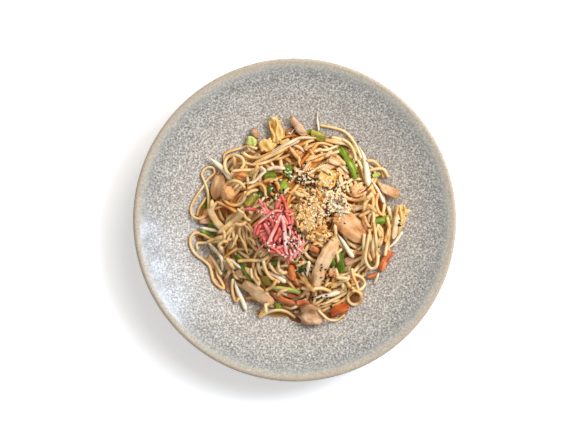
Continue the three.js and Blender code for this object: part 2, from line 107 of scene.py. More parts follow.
def food(name, stops, grain, relief, roughness, soak=0.15, coat=0.3, variation=0.3):
    """Cooked food: a colour ramp over the piece's tone and a soft mottle, fine relief, and a wet coat.

    grain is the size of the mottle and relief the depth of the fine bumps, both in millimetres. soak is
    how much light enters the food, and variation how far the mottle shifts the colour along the ramp."""
    material, tree, shader = start_material(name)
    place = add(tree, "TexCoord", {})
    mottle = add(tree, "TexNoise", {"Scale": 1 / (grain * MM), "Detail": 4, "Roughness": 0.6},
                 {"Vector": place.outputs["Object"]})
    tone = add(tree, "Attribute", {"attribute_name": "tone"})
    centred = add(tree, "Math", {"operation": "MULTIPLY_ADD", 1: variation * 2, 2: -variation},
                  {0: mottle.outputs["Fac"]})
    total = add(tree, "Math", {"operation": "ADD", "use_clamp": True},
                {0: tone.outputs["Fac"], 1: centred.outputs["Value"]})
    bumps = add(tree, "TexNoise", {"Scale": 3 / (grain * MM), "Detail": 3},
                {"Vector": place.outputs["Object"]})
    normal = add(tree, "Bump", {"Strength": 0.6, "Distance": relief * MM}, {"Height": bumps.outputs["Fac"]})
    shades = add(tree, "ValToRGB", {"stops": stops}, {"Fac": total.outputs["Value"]})
    tree.links.new(shades.outputs["Color"], shader.inputs["Base Color"])
    tree.links.new(normal.outputs["Normal"], shader.inputs["Normal"])
    for key, value in {
        "Roughness": roughness, "IOR": 1.42, "Subsurface Weight": soak, "Subsurface Scale": 0.0025,
        "Subsurface Radius": (1.0, 0.6, 0.35), "Coat Weight": coat, "Coat Roughness": 0.12,
    }.items():
        shader.inputs[key].default_value = value
    return material


print("finish helpers ready")

# %% [markdown]
# Objects are made in millimetres in plain arrays and turned to metres when the mesh is made. A finished
# piece's object stays at the origin, so its place is in its mesh, each piece is told which body it rides
# on, and the imported solids that it stands for are hidden. Its points carry one number, the tone, that its
# finish reads, so that one finish gives each strand its own shade.

# %% Helpers for pieces
rng = np.random.default_rng(11)


def deselect():
    """Leaves nothing selected, so that an operator acts on what is added next alone."""
    for item in bpy.context.selected_objects:
        item.select_set(False)


def points_of(piece):
    """The piece's vertices as an array in millimetres."""
    flat = np.empty(len(piece.data.vertices) * 3)
    piece.data.vertices.foreach_get("co", flat)
    return flat.reshape(-1, 3) / MM


def move_points(piece, points):
    """Puts the piece's vertices at an array of places in millimetres."""
    piece.data.vertices.foreach_set("co", (points * MM).ravel())
    piece.data.update()


def give_tone(piece, tone):
    """Stores the number that the finish reads as the piece's own shade, from 0, deep, to 1, light."""
    layer = piece.data.attributes.new("tone", "FLOAT", "POINT")
    values = np.broadcast_to(np.asarray(tone, dtype=float), len(piece.data.vertices))
    layer.data.foreach_set("value", np.ascontiguousarray(values))


def new_piece(name, points, faces, edges=()):
    """A mesh object from points in millimetres and faces, or loose edges where there are none."""
    mesh = bpy.data.meshes.new(name)
    mesh.from_pydata((np.asarray(points) * MM).tolist(), edges, faces)
    mesh.shade_smooth()
    piece = bpy.data.objects.new(name, mesh)
    bpy.context.collection.objects.link(piece)
    return piece


def hand_over(piece, material, slot, *replaced):
    """Finishes a piece: its material, its body and the solids that it stands for, which are hidden. slot is
    not used.
    """
    piece.data.materials.clear()
    piece.data.materials.append(material)
    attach(piece, "root")
    if replaced:
        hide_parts(*replaced)
    return piece


def press(*steps):
    """Runs edit-mode operators on the active piece with all of it selected."""
    bpy.ops.object.mode_set(mode="EDIT")
    bpy.ops.mesh.select_all(action="SELECT")
    for step in steps:
        step()
    bpy.ops.object.mode_set(mode="OBJECT")


print("piece helpers ready")

# %% [markdown]
# The food lies on the bowl, so the bowl's inner face and the heap's top are functions of place, with the
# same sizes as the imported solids. A ray cast at the solids would give the same heights more slowly, and
# only to the coarseness of their facets. The functions take arrays, because hundreds of strands will ask
# them.

# %% The bowl's wall and the heap's top, in millimetres
BOWL_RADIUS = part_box("bowl")[1][0] / MM
BOWL_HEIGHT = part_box("bowl")[1][2] / MM
WALL = 4.6  # thickness
FOOT_RADIUS = 60
FOOT_WIDTH = 6
FOOT_HEIGHT = 3
WELL_RADIUS = 46  # of the level floor, where the wall begins to rise
WALL_POWER = 1.45  # how the wall's rise grows with the distance past the floor
HEAP_RADIUS = 76
HEAP_HEIGHT = 33
HEAP_EDGE = 1.6  # height of the heap at its outline
EDGE_RUNOUT = 6  # how far that edge runs out into the bowl
HEAP_LEAN = 5  # how much further the heap reaches on its longer side
HEAP_LEAN_TURN = math.radians(20)  # the direction of that side, clockwise from +X
LIP_CENTRE = BOWL_RADIUS - WALL / 2
WALL_FLOOR = FOOT_HEIGHT + WALL / 2
WALL_RISE = BOWL_HEIGHT - WALL / 2 - WALL_FLOOR


def wall_middle(radius):
    """Height and slope of the middle of the bowl's wall."""
    share = np.clip((np.asarray(radius, dtype=float) - WELL_RADIUS) / (LIP_CENTRE - WELL_RADIUS), 0, None)
    slope = WALL_RISE * WALL_POWER * share ** (WALL_POWER - 1) / (LIP_CENTRE - WELL_RADIUS)
    return WALL_FLOOR + WALL_RISE * share**WALL_POWER, slope


def bowl_height(x, y):
    """Height of the bowl's inner face."""
    height, slope = wall_middle(np.hypot(x, y))
    return height + WALL / 2 * np.hypot(1, slope)


def heap_reach(angle):
    """Distance of the heap's outline from the middle."""
    lobes = 1.6 * np.sin(3 * angle + 0.4) + 1.1 * np.sin(5 * angle + 2)
    return HEAP_RADIUS + HEAP_LEAN * np.cos(angle + HEAP_LEAN_TURN) + lobes


def heap_height(x, y):
    """Height of the bare heap, running out into the bowl past its outline."""
    radius = np.hypot(x, y)
    reach = heap_reach(np.arctan2(y, x))
    share = np.minimum(1, radius / reach)
    dome = HEAP_HEIGHT * (1 - share**2.3) ** 1.1
    humps = 1.1 * np.sin(x / 15 + 1) * np.cos(y / 13) * (1 - share**4)
    runout = np.clip((radius - reach) / EDGE_RUNOUT, 0, 1)
    edge = HEAP_EDGE * (1 - runout**2 * (3 - 2 * runout))
    return bowl_height(x, y) + edge + dome + humps


print(f"bowl {2 * BOWL_RADIUS:.0f} by {BOWL_HEIGHT:.0f} mm, heap top at {float(heap_height(0, 0)):.0f} mm")

# %% [markdown]
# Reactive glaze is poured over stoneware and breaks into light and dark grains about two millimetres wide
# in the kiln. It pools darker towards the rim, thins there to a pale line, and stops short of the edge,
# where the raw sandy clay shows. It could be painted on an image, but a glaze follows the wheel, so its
# colours are rings by distance from the middle, shifted a little by noise, with a fine noise laid over them
# for the grains. A clear coat gives the gloss of glass. The clay has no coat.

# %% Finish: reactive glaze on stoneware
GRAIN = 1.5  # of the glaze, in millimetres
SAND = 0.9  # grain of the bare clay, in millimetres
FLOW = 16  # between the glossier and the duller parts of the glaze, in millimetres
RIM_CLAY = 0.979  # share of the radius at which the glaze stops
RIM_BLUR = 0.003  # share of the radius on each side of that over which it thins out
FOOT_BLUR = 0.4  # the same at the top of the foot ring, in millimetres


def stoneware():
    """Glazed stoneware: grainy and grey under a glassy coat, and dull and sandy where it is bare."""
    material, tree, shader = start_material("reactive_glaze_on_stoneware")
    place = add(tree, "TexCoord", {})
    flat = add(tree, "VectorMath", {"operation": "MULTIPLY", 1: (1, 1, 0)}, {0: place.outputs["Object"]})
    length = add(tree, "VectorMath", {"operation": "LENGTH"}, {0: flat.outputs["Vector"]})
    wander = add(tree, "TexNoise", {"Scale": 22, "Detail": 2}, {"Vector": place.outputs["Object"]})
    share = add(tree, "Math", {"operation": "DIVIDE", 1: BOWL_RADIUS * MM}, {0: length.outputs["Value"]})
    shift = add(tree, "Math", {"operation": "MULTIPLY_ADD", 1: 0.016, 2: -0.008}, {0: wander.outputs["Fac"]})
    ring = add(tree, "Math", {"operation": "ADD"}, {0: share.outputs["Value"], 1: shift.outputs["Value"]})
    base = add(tree, "ValToRGB", {"stops": [
        (0.0, "#c2bcb0"), (0.66, "#c2bcb0"), (0.76, "#bfb9ad"), (0.85, "#b9b4aa"), (0.915, "#aeaaa2"),
        (0.94, "#adaba3"), (0.955, "#bdb7a8"), (0.972, "#c0b39f"),
    ]}, {"Fac": ring.outputs["Value"]})
    grains = add(tree, "TexNoise", {"Scale": 1 / (GRAIN * MM), "Detail": 2.5, "Roughness": 0.65},
                 {"Vector": place.outputs["Object"]})
    specks = add(tree, "ValToRGB", {"stops": [
        (0.30, "#727273"), (0.44, "#939394"), (0.52, "#b2b2b3"), (0.60, "#d3d3d3"), (0.72, "#eaeaea"),
    ]}, {"Fac": grains.outputs["Fac"]})
    edge_fade = add(tree, "MapRange", {"From Min": 0.90, "From Max": 0.955, "To Min": 1.0, "To Max": 0.35},
                    {"Value": ring.outputs["Value"]})
    speckled = add(tree, "Mix", {"data_type": "RGBA", "blend_type": "OVERLAY"},
                   {0: edge_fade.outputs["Result"], 6: base.outputs["Color"], 7: specks.outputs["Color"]})
    sand = add(tree, "TexNoise", {"Scale": 1 / (SAND * MM), "Detail": 2}, {"Vector": place.outputs["Object"]})
    clay = add(tree, "ValToRGB", {"stops": [(0.35, "#a49480"), (0.5, "#bbac97"), (0.68, "#ccbfab")]},
               {"Fac": sand.outputs["Fac"]})
    is_rim = add(tree, "MapRange", {"From Min": RIM_CLAY - RIM_BLUR, "From Max": RIM_CLAY + RIM_BLUR},
                 {"Value": ring.outputs["Value"]})
    split = add(tree, "SeparateXYZ", {}, {"Vector": place.outputs["Object"]})
    foot_edges = {"From Min": (FOOT_HEIGHT + FOOT_BLUR) * MM, "From Max": (FOOT_HEIGHT - FOOT_BLUR) * MM}
    is_foot = add(tree, "MapRange", foot_edges, {"Value": split.outputs["Z"]})
    is_clay = add(tree, "Math", {"operation": "MAXIMUM"},
                  {0: is_rim.outputs["Result"], 1: is_foot.outputs["Result"]})
    final = add(tree, "Mix", {"data_type": "RGBA"},
                {0: is_clay.outputs["Value"], 6: speckled.outputs[2], 7: clay.outputs["Color"]})
    rough = add(tree, "MapRange", {"To Min": 0.5, "To Max": 0.8}, {"Value": is_clay.outputs["Value"]})
    bump = add(tree, "Bump", {"Strength": 0.5, "Distance": 0.15 * MM}, {"Height": grains.outputs["Fac"]})
    flow = add(tree, "TexNoise", {"Scale": 1 / (FLOW * MM), "Detail": 3}, {"Vector": place.outputs["Object"]})
    gloss = add(tree, "MapRange", {"From Min": 0.35, "From Max": 0.65, "To Min": 0.1, "To Max": 0.28},
                {"Value": flow.outputs["Fac"]})
    is_glass = add(tree, "Math", {"operation": "SUBTRACT", 0: 1}, {1: is_clay.outputs["Value"]})
    tree.links.new(final.outputs[2], shader.inputs["Base Color"])
    tree.links.new(rough.outputs["Result"], shader.inputs["Roughness"])
    tree.links.new(bump.outputs["Normal"], shader.inputs["Normal"])
    tree.links.new(is_glass.outputs["Value"], shader.inputs["Coat Weight"])
    tree.links.new(gloss.outputs["Result"], shader.inputs["Coat Roughness"])
    shader.inputs["IOR"].default_value = 1.42
    shader.inputs["Coat IOR"].default_value = 1.5
    return material


glaze = stoneware()
print("glaze grain", GRAIN, "mm")

# %% [markdown]
# A coupe bowl is thrown on a wheel. It could be pressed from a disc with a lattice, but a section that is
# spun round its axis is how the potter shapes it, and it keeps the wall's thickness exact. The section is
# two offset curves, one for each face of the wall, a round lip, and a low foot ring with a recessed middle.
# The spin tool turns it through a full circle, the seam is merged, and the faces are turned outwards.

# %% The bowl
def wall_face(radius, side):
    """Points on the inside (side 1) or outside (side -1) of the wall."""
    height, slope = wall_middle(radius)
    length = np.hypot(1, slope)
    return np.stack([radius - side * WALL * slope / (2 * length), height + side * WALL / (2 * length)], -1)


def bowl_section():
    """The outline of half the bowl, as radius and height, from the axis underneath to the axis on top."""
    foot_in = FOOT_RADIUS - FOOT_WIDTH / 2
    foot_out = FOOT_RADIUS + FOOT_WIDTH / 2
    lip_height, lip_slope = wall_middle(LIP_CENTRE)
    tilt = math.atan(lip_slope)
    turn = np.linspace(tilt - math.pi / 2, tilt + math.pi / 2, 13)[1:-1]
    lip = np.stack([LIP_CENTRE + WALL / 2 * np.cos(turn), lip_height + WALL / 2 * np.sin(turn)], -1)
    foot = [
        (0, FOOT_HEIGHT), (foot_in - 0.6, FOOT_HEIGHT), (foot_in, FOOT_HEIGHT - 0.5),
        (foot_in + 0.5, 0.4), (foot_in + 1.2, 0), (foot_out - 1.2, 0), (foot_out - 0.4, 0.4), (foot_out, 1.6),
        (foot_out + 0.3, float(wall_face(foot_out + 2, -1)[1]) - 0.5),
    ]
    outside = wall_face(np.linspace(foot_out + 3, LIP_CENTRE, 18), -1)
    inside = wall_face(np.linspace(LIP_CENTRE, WELL_RADIUS - 12, 30), 1)
    return np.vstack([foot, outside, lip, inside, [(24, FOOT_HEIGHT + WALL), (0, FOOT_HEIGHT + WALL)]])


SPIN_STEPS = 160
section = bowl_section()
profile = np.stack([section[:, 0], 0 * section[:, 0], section[:, 1]], -1)
deselect()
bowl = new_piece("coupe_bowl", profile, [], [(i, i + 1) for i in range(len(profile) - 1)])
bowl.select_set(True)
bpy.context.view_layer.objects.active = bowl
press(
    lambda: bpy.ops.mesh.spin(steps=SPIN_STEPS, angle=2 * math.pi, center=(0, 0, 0), axis=(0, 0, 1)),
    lambda: bpy.ops.mesh.select_all(action="SELECT"),
    lambda: bpy.ops.mesh.remove_doubles(threshold=1e-6),
    lambda: bpy.ops.mesh.normals_make_consistent(inside=False),
)
bowl.data.shade_smooth()
hand_over(bowl, glaze, "plate_glaze", "bowl")
print("bowl faces:", len(bowl.data.polygons))

# %% [markdown]
# Noodles in a heap lie on each other. A height map does that without a simulation: it holds, for each half
# millimetre cell, how high the dish reaches so far. A strand is laid along a path by asking the map how
# high it must run, letting it bridge the hollows as a stiff strand does, and raising the map under it. A
# roof keeps the strands under the toppings that lie on the heap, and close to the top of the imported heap.

# %% The height map
CELL = 0.5  # size of the map's cells, in millimetres, as are all sizes here
HALF = 104  # half the side of the map
PACKING = 7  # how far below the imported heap's top the loose strands begin
STAND_OUT = 4.0  # how far above it they may reach
PIT_SIZE = 9  # of the hollows between clumps of strands
PIT_DEPTH = 4
PIT_STRIDE = 4  # cells between the places where the hollows are worked out
RAY_STRIDE = 2  # cells between the rays that find the toppings
BELOW_ALL = -10  # heights from which rays start
ABOVE_ALL = 200
MARGIN = 1.5  # that strands keep from the side of a topping
OVERLAP = 0.3  # how far a strand may reach into its underside
axis = np.arange(-HALF, HALF + CELL, CELL)
grid_x, grid_y = np.meshgrid(axis, axis, indexing="ij")


def cell_of(points):
    """The map's cell under each point."""
    return tuple(np.clip(np.rint((points[:, k] + HALF) / CELL).astype(int), 0, len(axis) - 1) for k in (0, 1))


def raster(names, direction):
    """The lowest (direction 1) or highest (-1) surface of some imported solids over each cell, or nan."""
    corners = []
    triangles = []
    for name in names:
        mesh = nodes[name].data
        start = len(corners)
        corners += [tuple(vertex.co / MM) for vertex in mesh.vertices]
        triangles += [tuple(start + i for i in polygon.vertices) for polygon in mesh.polygons]
    tree = BVHTree.FromPolygons(corners, triangles)
    found = np.full(grid_x.shape, np.nan)
    start_height = BELOW_ALL if direction > 0 else ABOVE_ALL
    for i in range(0, len(axis), RAY_STRIDE):
        for j in range(0, len(axis), RAY_STRIDE):
            hit = tree.ray_cast((axis[i], axis[j], start_height), (0, 0, direction))[0]
            if hit is not None:
                found[i:i + RAY_STRIDE, j:j + RAY_STRIDE] = hit.z
    return found


def widened(surface, reach):
    """The lowest height within a reach of each cell, or nan where there is none."""
    steps = int(reach / CELL)
    lowest = surface.copy()
    for i in range(-steps, steps + 1):
        for j in range(-steps, steps + 1):
            if math.hypot(i, j) <= steps:
                lowest = np.fmin(lowest, np.roll(surface, (i, j), axis=(0, 1)))
    return lowest


topping_names = [name for name in nodes if name not in ("bowl", "noodles")]
under_toppings = widened(raster(topping_names, 1), MARGIN)
over_toppings = raster(topping_names, -1)
heap_map = heap_height(grid_x, grid_y)
bowl_map = bowl_height(grid_x, grid_y)
level = np.maximum(bowl_map, heap_map - PACKING)
places = axis[::PIT_STRIDE]
pits = np.array([[noise.noise(Vector((x, y, 3)) / PIT_SIZE) for y in places] for x in places])
pits = np.clip(np.kron(pits, np.ones((PIT_STRIDE, PIT_STRIDE)))[:len(axis), :len(axis)], 0, 1)
roof = np.fmin(heap_map + STAND_OUT - PIT_DEPTH * pits, under_toppings + OVERLAP)
print("cells:", level.size, "under toppings:", int(np.isfinite(under_toppings).sum()))

# %% [markdown]
# A strand could be a curve with a round bevel that a simulation drops, but a thousand of them would take
# minutes, and would not fall where the dish has them. Here a strand is a row of points. It is laid where
# the height map says, kept under the roof, and swept to a closed tube in plain arrays.

# %% Laying a strand
SQUEEZE = 1.3  # how far a strand may be pressed into what lies under it, in millimetres
STEP = 1.5  # between the points of a strand, in millimetres
CURVE_SHARES = 12  # parts of a smooth curve between two of its places


def window(values, reach):
    """Every stretch of values within reach places of each one."""
    return np.lib.stride_tricks.sliding_window_view(np.pad(values, reach, mode="edge"), 2 * reach + 1)


def blur(values, reach):
    """A soft average along a strand."""
    weights = np.hanning(2 * reach + 3)[1:-1]
    return window(values, reach) @ (weights / weights.sum())


def even_points(corners):
    """A smooth curve through a few places, as points a step apart."""
    corners = np.asarray(corners, dtype=float)
    padded = np.vstack([2 * corners[0] - corners[1], corners, 2 * corners[-1] - corners[-2]])
    share = np.linspace(0, 1, CURVE_SHARES, endpoint=False)[:, None]
    parts = []
    for a, b, c, d in zip(padded, padded[1:], padded[2:], padded[3:]):
        parts.append(b + 0.5 * share * (c - a + share * (2 * a - 5 * b + 4 * c - d
                                                         + share * (3 * (b - c) + d - a))))
    curve = np.vstack([*parts, corners[-1:]])
    along = np.concatenate([[0], np.cumsum(np.linalg.norm(np.diff(curve, axis=0), axis=1))])
    steps = np.linspace(0, along[-1], max(3, int(along[-1] / STEP) + 1))
    return np.stack([np.interp(steps, along, curve[:, 0]), np.interp(steps, along, curve[:, 1])], -1)


def sideways(path):
    """The direction to the right of a path at each of its points."""
    side = np.gradient(path, axis=0)[:, ::-1] * (1, -1)
    return side / (np.linalg.norm(side, axis=1, keepdims=True) + 1e-9)


def lay(path, radius, under, bridge=3, sink=0.2):
    """The middle of a strand along a path: it rests on what is under it and bridges the hollows."""
    edge = 0.7 * radius * sideways(path)
    support = np.max([under[cell_of(path + shift * edge)] for shift in (-1, 0, 1)], axis=0)
    height = blur(window(support, bridge).max(-1), bridge) + radius * (1 - sink)
    return np.column_stack([path, height])


def under_roof(strand, radius, over):
    """The longest run of a strand that fits under the roof, pressed down where it nearly fits."""
    room = over[cell_of(strand)] - strand[:, 2] - radius
    fits = np.concatenate([[False], room > -SQUEEZE, [False]])
    edges = np.flatnonzero(np.diff(fits.astype(int)))
    runs = sorted(zip(edges[::2], edges[1::2]), key=lambda run: run[1] - run[0])
    if not runs:
        return strand[:0]
    begin, end = runs[-1]
    pressed = strand[begin:end].copy()
    pressed[:, 2] += blur(np.minimum(room[begin:end], 0), 1)
    return pressed


def stamp(strand, radius, surface):
    """Raises the map to the top of a strand."""
    reach = int(radius / CELL) + 1
    shifts = np.arange(-reach, reach + 1) * CELL
    shift_x, shift_y = [shift.ravel() for shift in np.meshgrid(shifts, shifts)]
    rise = radius**2 - shift_x**2 - shift_y**2
    inside = rise > 0
    spots = strand[:, None, :2] + np.stack([shift_x[inside], shift_y[inside]], -1)[None]
    tops = strand[:, 2:3] + np.sqrt(rise[inside])[None]
    np.fmax.at(surface, cell_of(spots.reshape(-1, 2)), tops.ravel())


def tubes(name, strands, sides, flat=1.0, back=0.0):
    """One mesh of many closed strands, each (points, radii, tones).

    flat is their height over their width, and back is how much lighter their tops are painted than their
    sides: painted light."""
    points = []
    faces = []
    tones = []
    turn = np.linspace(0, 2 * math.pi, sides, endpoint=False)
    for middle, radii, tone in strands:
        start = sum(len(part) for part in points)
        count = len(middle)
        # A ring of points stands square to the strand at each of its points, and each end gets one more.
        ahead = np.gradient(middle, axis=0)
        ahead /= np.linalg.norm(ahead, axis=1, keepdims=True)
        left = np.cross((0, 0, 1), ahead)
        left /= np.linalg.norm(left, axis=1, keepdims=True)
        up = np.cross(ahead, left)
        ring = np.cos(turn)[None, :, None] * left[:, None] + flat * np.sin(turn)[None, :, None] * up[:, None]
        skin = middle[:, None] + np.asarray(radii)[:, None, None] * ring
        ends = middle[[0, -1]] + ahead[[0, -1]] * np.array([[-0.5], [0.5]]) * radii[0]
        points += [skin.reshape(-1, 3), ends]
        # Each ring's top is painted lighter than its sides by back: painted light.
        round_tone = tone[:, None] + back * (np.clip(np.sin(turn), -0.2, 1) - 0.6)
        tones.append(np.concatenate([round_tone.ravel(), tone[[0, -1]]]))
        # Faces join each ring to the next, and fans close the ends.
        first = start + np.arange(count - 1)[:, None] * sides + np.arange(sides)
        after = start + np.arange(count - 1)[:, None] * sides + (np.arange(sides) + 1) % sides
        faces += np.stack([first, after, after + sides, first + sides], -1).reshape(-1, 4).tolist()
        near = start + count * sides
        last = start + (count - 1) * sides
        for i in range(sides):
            j = (i + 1) % sides
            faces.append((near, start + j, start + i))
            faces.append((near + 1, last + i, last + j))
    piece = new_piece(name, np.vstack(points), faces)
    give_tone(piece, np.concatenate(tones))
    return piece


print("strand tools ready")

# %% [markdown]
# Fresh wheat noodles are boiled, then fried in a brown sauce. They are straw to tan and shine with oil,
# and the strands deep in the heap are painted browner, as painted shade. A separate finish for each shade
# would do, but the shade also changes along a strand, so the one finish reads the tone of each point.

# %% Finish: sauced wheat noodle
# Boiled wheat dough, fried in sauce: smooth and soft, lit a little from within, with an oily shine.
noodle_finish = food("sauced_wheat_noodle", [
    (0.0, "#c2621f"), (0.25, "#dc8c3d"), (0.5, "#e7ab5e"), (0.75, "#efc17d"), (1.0, "#f8dda8"),
], grain=5, relief=0.14, roughness=0.33, soak=0.42, coat=0.4, variation=0.22)
print("noodle finish ready")

# %% [markdown]
# Deep in the heap nothing but shaded, packed noodle shows through the gaps. Strands there would cost most
# of the mesh and never be seen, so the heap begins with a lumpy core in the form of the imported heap, a
# little smaller. It is a net of rings and spokes, closed at its two poles.

# %% The core of the heap
CORE_INSET = 3  # from the heap's outline, in millimetres
CORE_GAP = 0.3  # between the core and the bowl
CORE_EDGE = 0.8  # height of the core at its outline
CORE_LUMP = 0.9  # height of its lumps
# The core is painted darker than the loose strands, as painted shade for the depth of the heap.
CORE_TONE = 0.5


def core_mesh():
    """A closed net of points over the core's top, and back under it at a coarser spacing."""
    rings = 40
    spokes = 96
    angle = np.linspace(0, 2 * math.pi, spokes, endpoint=False)
    share = np.concatenate([np.linspace(0.03, 1, rings), np.linspace(0.97, 0.03, rings // 2)])
    radius = share[:, None] * (heap_reach(angle) - CORE_INSET)[None]
    x = radius * np.cos(angle)
    y = radius * np.sin(angle)
    top = np.maximum(heap_height(x, y) - PACKING, bowl_height(x, y) + CORE_EDGE)
    z = np.where(np.arange(len(share))[:, None] < rings, top, bowl_height(x, y) + CORE_GAP)
    lumps = np.array([[noise.noise(Vector((a, b, 0)) / 5) for a, b in zip(*row)] for row in zip(x, y)])
    z[:rings - 1] += CORE_LUMP * lumps[:rings - 1]
    skin = np.stack([x, y, z], -1).reshape(-1, 3)
    poles = [(0, 0, float(heap_height(0, 0)) - PACKING), (0, 0, float(bowl_height(0, 0)) + CORE_GAP)]
    faces = []
    for row in range(len(share) - 1):
        for i in range(spokes):
            j = (i + 1) % spokes
            near = row * spokes
            far = near + spokes
            faces.append((near + i, far + i, far + j, near + j))
    last = (len(share) - 1) * spokes
    for i in range(spokes):
        j = (i + 1) % spokes
        faces.append((len(skin), i, j))
        faces.append((len(skin) + 1, last + j, last + i))
    return new_piece("noodle_core", np.vstack([skin, poles]), faces)


core = core_mesh()
give_tone(core, CORE_TONE)
hand_over(core, noodle_finish, "noodle", "noodles")
print("core faces:", len(core.data.polygons))

# %% [markdown]
# Noodles leave the tongs in bundles of one to three that wind side by side. Placed evenly at random they
# would pile up in one part and leave another bare, so each bundle is tried at a few places, and the place
# where the heap lacks most wins. Single strands then fill the deepest hollows that are left. At the heap's
# outline a strand turns along it, as a noodle does when it drops, and its ends dip under their neighbours.

# %% Bundles of strands
NOODLE = 1.6  # radius in millimetres
BUNDLES = 700
TRIES = 5
BUNDLE_LENGTHS = (30, 90)  # millimetres
MOST_STRANDS = 3  # in a bundle
SPARE = 2.2  # a bundle is laid only where the heap lacks at least this much, in millimetres
SHORTEST = 16  # points in the shortest strand
TUCK = 2.5  # how far the end of a strand dips under its neighbours, in millimetres
TUCKED_POINTS = 5  # points at each end over which it dips
FILLERS = 260
FILLER_TRIES = 30
FILLER_HALVES = (13, 18)  # lengths that a filler winds back and forth from its place, in millimetres
OUTER = 3.0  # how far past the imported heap's outline a strand may run, in millimetres
EDGE_BAND = 14  # how far from there it begins to turn along the outline
STRIDE = 3  # between the turns of a winding path, in millimetres
SHARPEST = 0.6  # turn at one of them, in radians


def wander(spot, heading, length, curl):
    """A path that winds on from a place, and turns along the heap's outline when it meets it."""
    spots = [spot]
    for _ in range(int(length / STRIDE)):
        x, y = spots[-1]
        angle = math.atan2(y, x)
        room = heap_reach(angle) + OUTER - math.hypot(x, y)
        if room < EDGE_BAND:
            along = angle + math.copysign(math.pi / 2 + 0.35, math.sin(heading - angle))
            turn = (along - heading + math.pi) % (2 * math.pi) - math.pi
            heading += max(-SHARPEST, min(SHARPEST, turn)) * (1 - max(room, 0) / EDGE_BAND)
        curl = 0.9 * curl + rng.normal(0, 0.05)
        heading += curl + rng.normal(0, 0.06)
        spots.append((x + STRIDE * math.cos(heading), y + STRIDE * math.sin(heading)))
    return even_points(spots)


def random_start():
    """A place anywhere on the heap, and a heading."""
    angle = rng.uniform(0, 2 * math.pi)
    spread = math.sqrt(rng.uniform(0, 1)) * (heap_reach(angle) + 2)
    return (spread * math.cos(angle), spread * math.sin(angle)), rng.uniform(0, 2 * math.pi)


def tucked(strand):
    """The strand with its two ends dipped."""
    count = len(strand)
    to_end = np.minimum(np.arange(count), count - 1 - np.arange(count)) / TUCKED_POINTS
    dipped = strand.copy()
    dipped[:, 2] -= TUCK * np.clip(1 - to_end, 0, 1) ** 2
    floor_height = bowl_height(dipped[:, 0], dipped[:, 1]) + NOODLE
    dipped[:, 2] = np.maximum(dipped[:, 2], floor_height)
    return dipped


def lay_noodle(path, radius, shade):
    """Lays one strand as far as it fits under the roof."""
    strand = under_roof(lay(path, radius, level), radius, roof)
    if len(strand) >= SHORTEST:
        strand = tucked(strand)
        stamp(strand, radius, level)
        laid.append((strand, radius, shade))


laid = []  # (points, radius, shade) of each noodle, from the bottom of the heap to the top
for _ in range(BUNDLES):
    length = rng.uniform(*BUNDLE_LENGTHS)
    options = []
    for _ in range(TRIES):
        spot, heading = random_start()
        path = wander(spot, heading, length, rng.normal(0, 0.17))
        options.append((float(np.mean((roof - level)[cell_of(path)])), path))
    gap, path = max(options, key=lambda option: option[0])
    if gap < SPARE:
        continue
    side = sideways(path)
    shade = rng.normal(0, 0.09)
    for k in range(rng.integers(1, MOST_STRANDS + 1)):
        radius = NOODLE * rng.uniform(0.76, 1.08)
        drift = 2.1 * radius * k + rng.uniform(-0.5, 1.2) + np.linspace(0, rng.normal(0, 3), len(path))
        cut = slice(rng.integers(0, 6), len(path) - rng.integers(0, 8))
        lay_noodle((path + side * drift[:, None])[cut], radius, shade + rng.normal(0, 0.06))
bundled = len(laid)
for _ in range(FILLERS):
    starts = [random_start() for _ in range(FILLER_TRIES)]
    gaps = (roof - level)[cell_of(np.array([spot for spot, _ in starts]))]
    spot, heading = starts[int(gaps.argmax())]
    curl = rng.normal(0, 0.14)
    back = wander(spot, heading + math.pi, FILLER_HALVES[0], -curl)
    path = np.vstack([back[:0:-1], wander(spot, heading, FILLER_HALVES[1], curl)])
    lay_noodle(path, NOODLE * rng.uniform(0.8, 1.05), rng.normal(0, 0.1))
print("strands in bundles:", bundled, "strands that fill hollows:", len(laid) - bundled)

# %% [markdown]
# The imported solids give each topping its place. Copying their sizes by hand would work once, but would part
# from the solids when they change, so a topping's lie is read from its solid's points: its middle, its long
# direction with the thinner end forward, its length, width and thickness, how far it bows sideways, and how
# high it lies over the heap. Small bits have no solid, so their lie is listed.

# %% How a topping lies
# How far toppings have slid from their packed places, in x, y and height, in millimetres.
SLID = {
    "green_1": (6.5, -0.5, 0), "green_9": (1, 4, 3), "green_10": (1, 3.5, 3), "green_11": (3.2, -3, 0.5),
    "green_12": (-2.5, 2, 0), "green_16": (-2, -1.5, 0), "egg_2": (5.5, 0, 0), "chicken_3": (-2, -0.7, 0),
    "chicken_5": (-1, 0, 0), "chicken_7": (-1.5, 0, 0), "chicken_8": (0.5, -2.5, 0),
    "chicken_9": (3.5, 1.5, 0), "pepper_2": (-4.5, 0, 0.5), "pepper_3": (-4, -3, 0.5),
    "sprout_3": (-0.8, 0.4, 2),
}
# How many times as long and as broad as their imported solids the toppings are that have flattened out.
FLATTENED = {
    "green_9": (1, 1.4), "green_10": (1, 1.4), "green_11": (1.3, 0.95), "pepper_3": (1.3, 1.3),
    "sprout_3": (1.12, 1.3), "chicken_5": (1.05, 1.3),
}
REST_SHARE = 80  # per cent of the ground under a small bit that its underside clears
BIT_SINK = 0.3  # share of its thickness that it sinks in


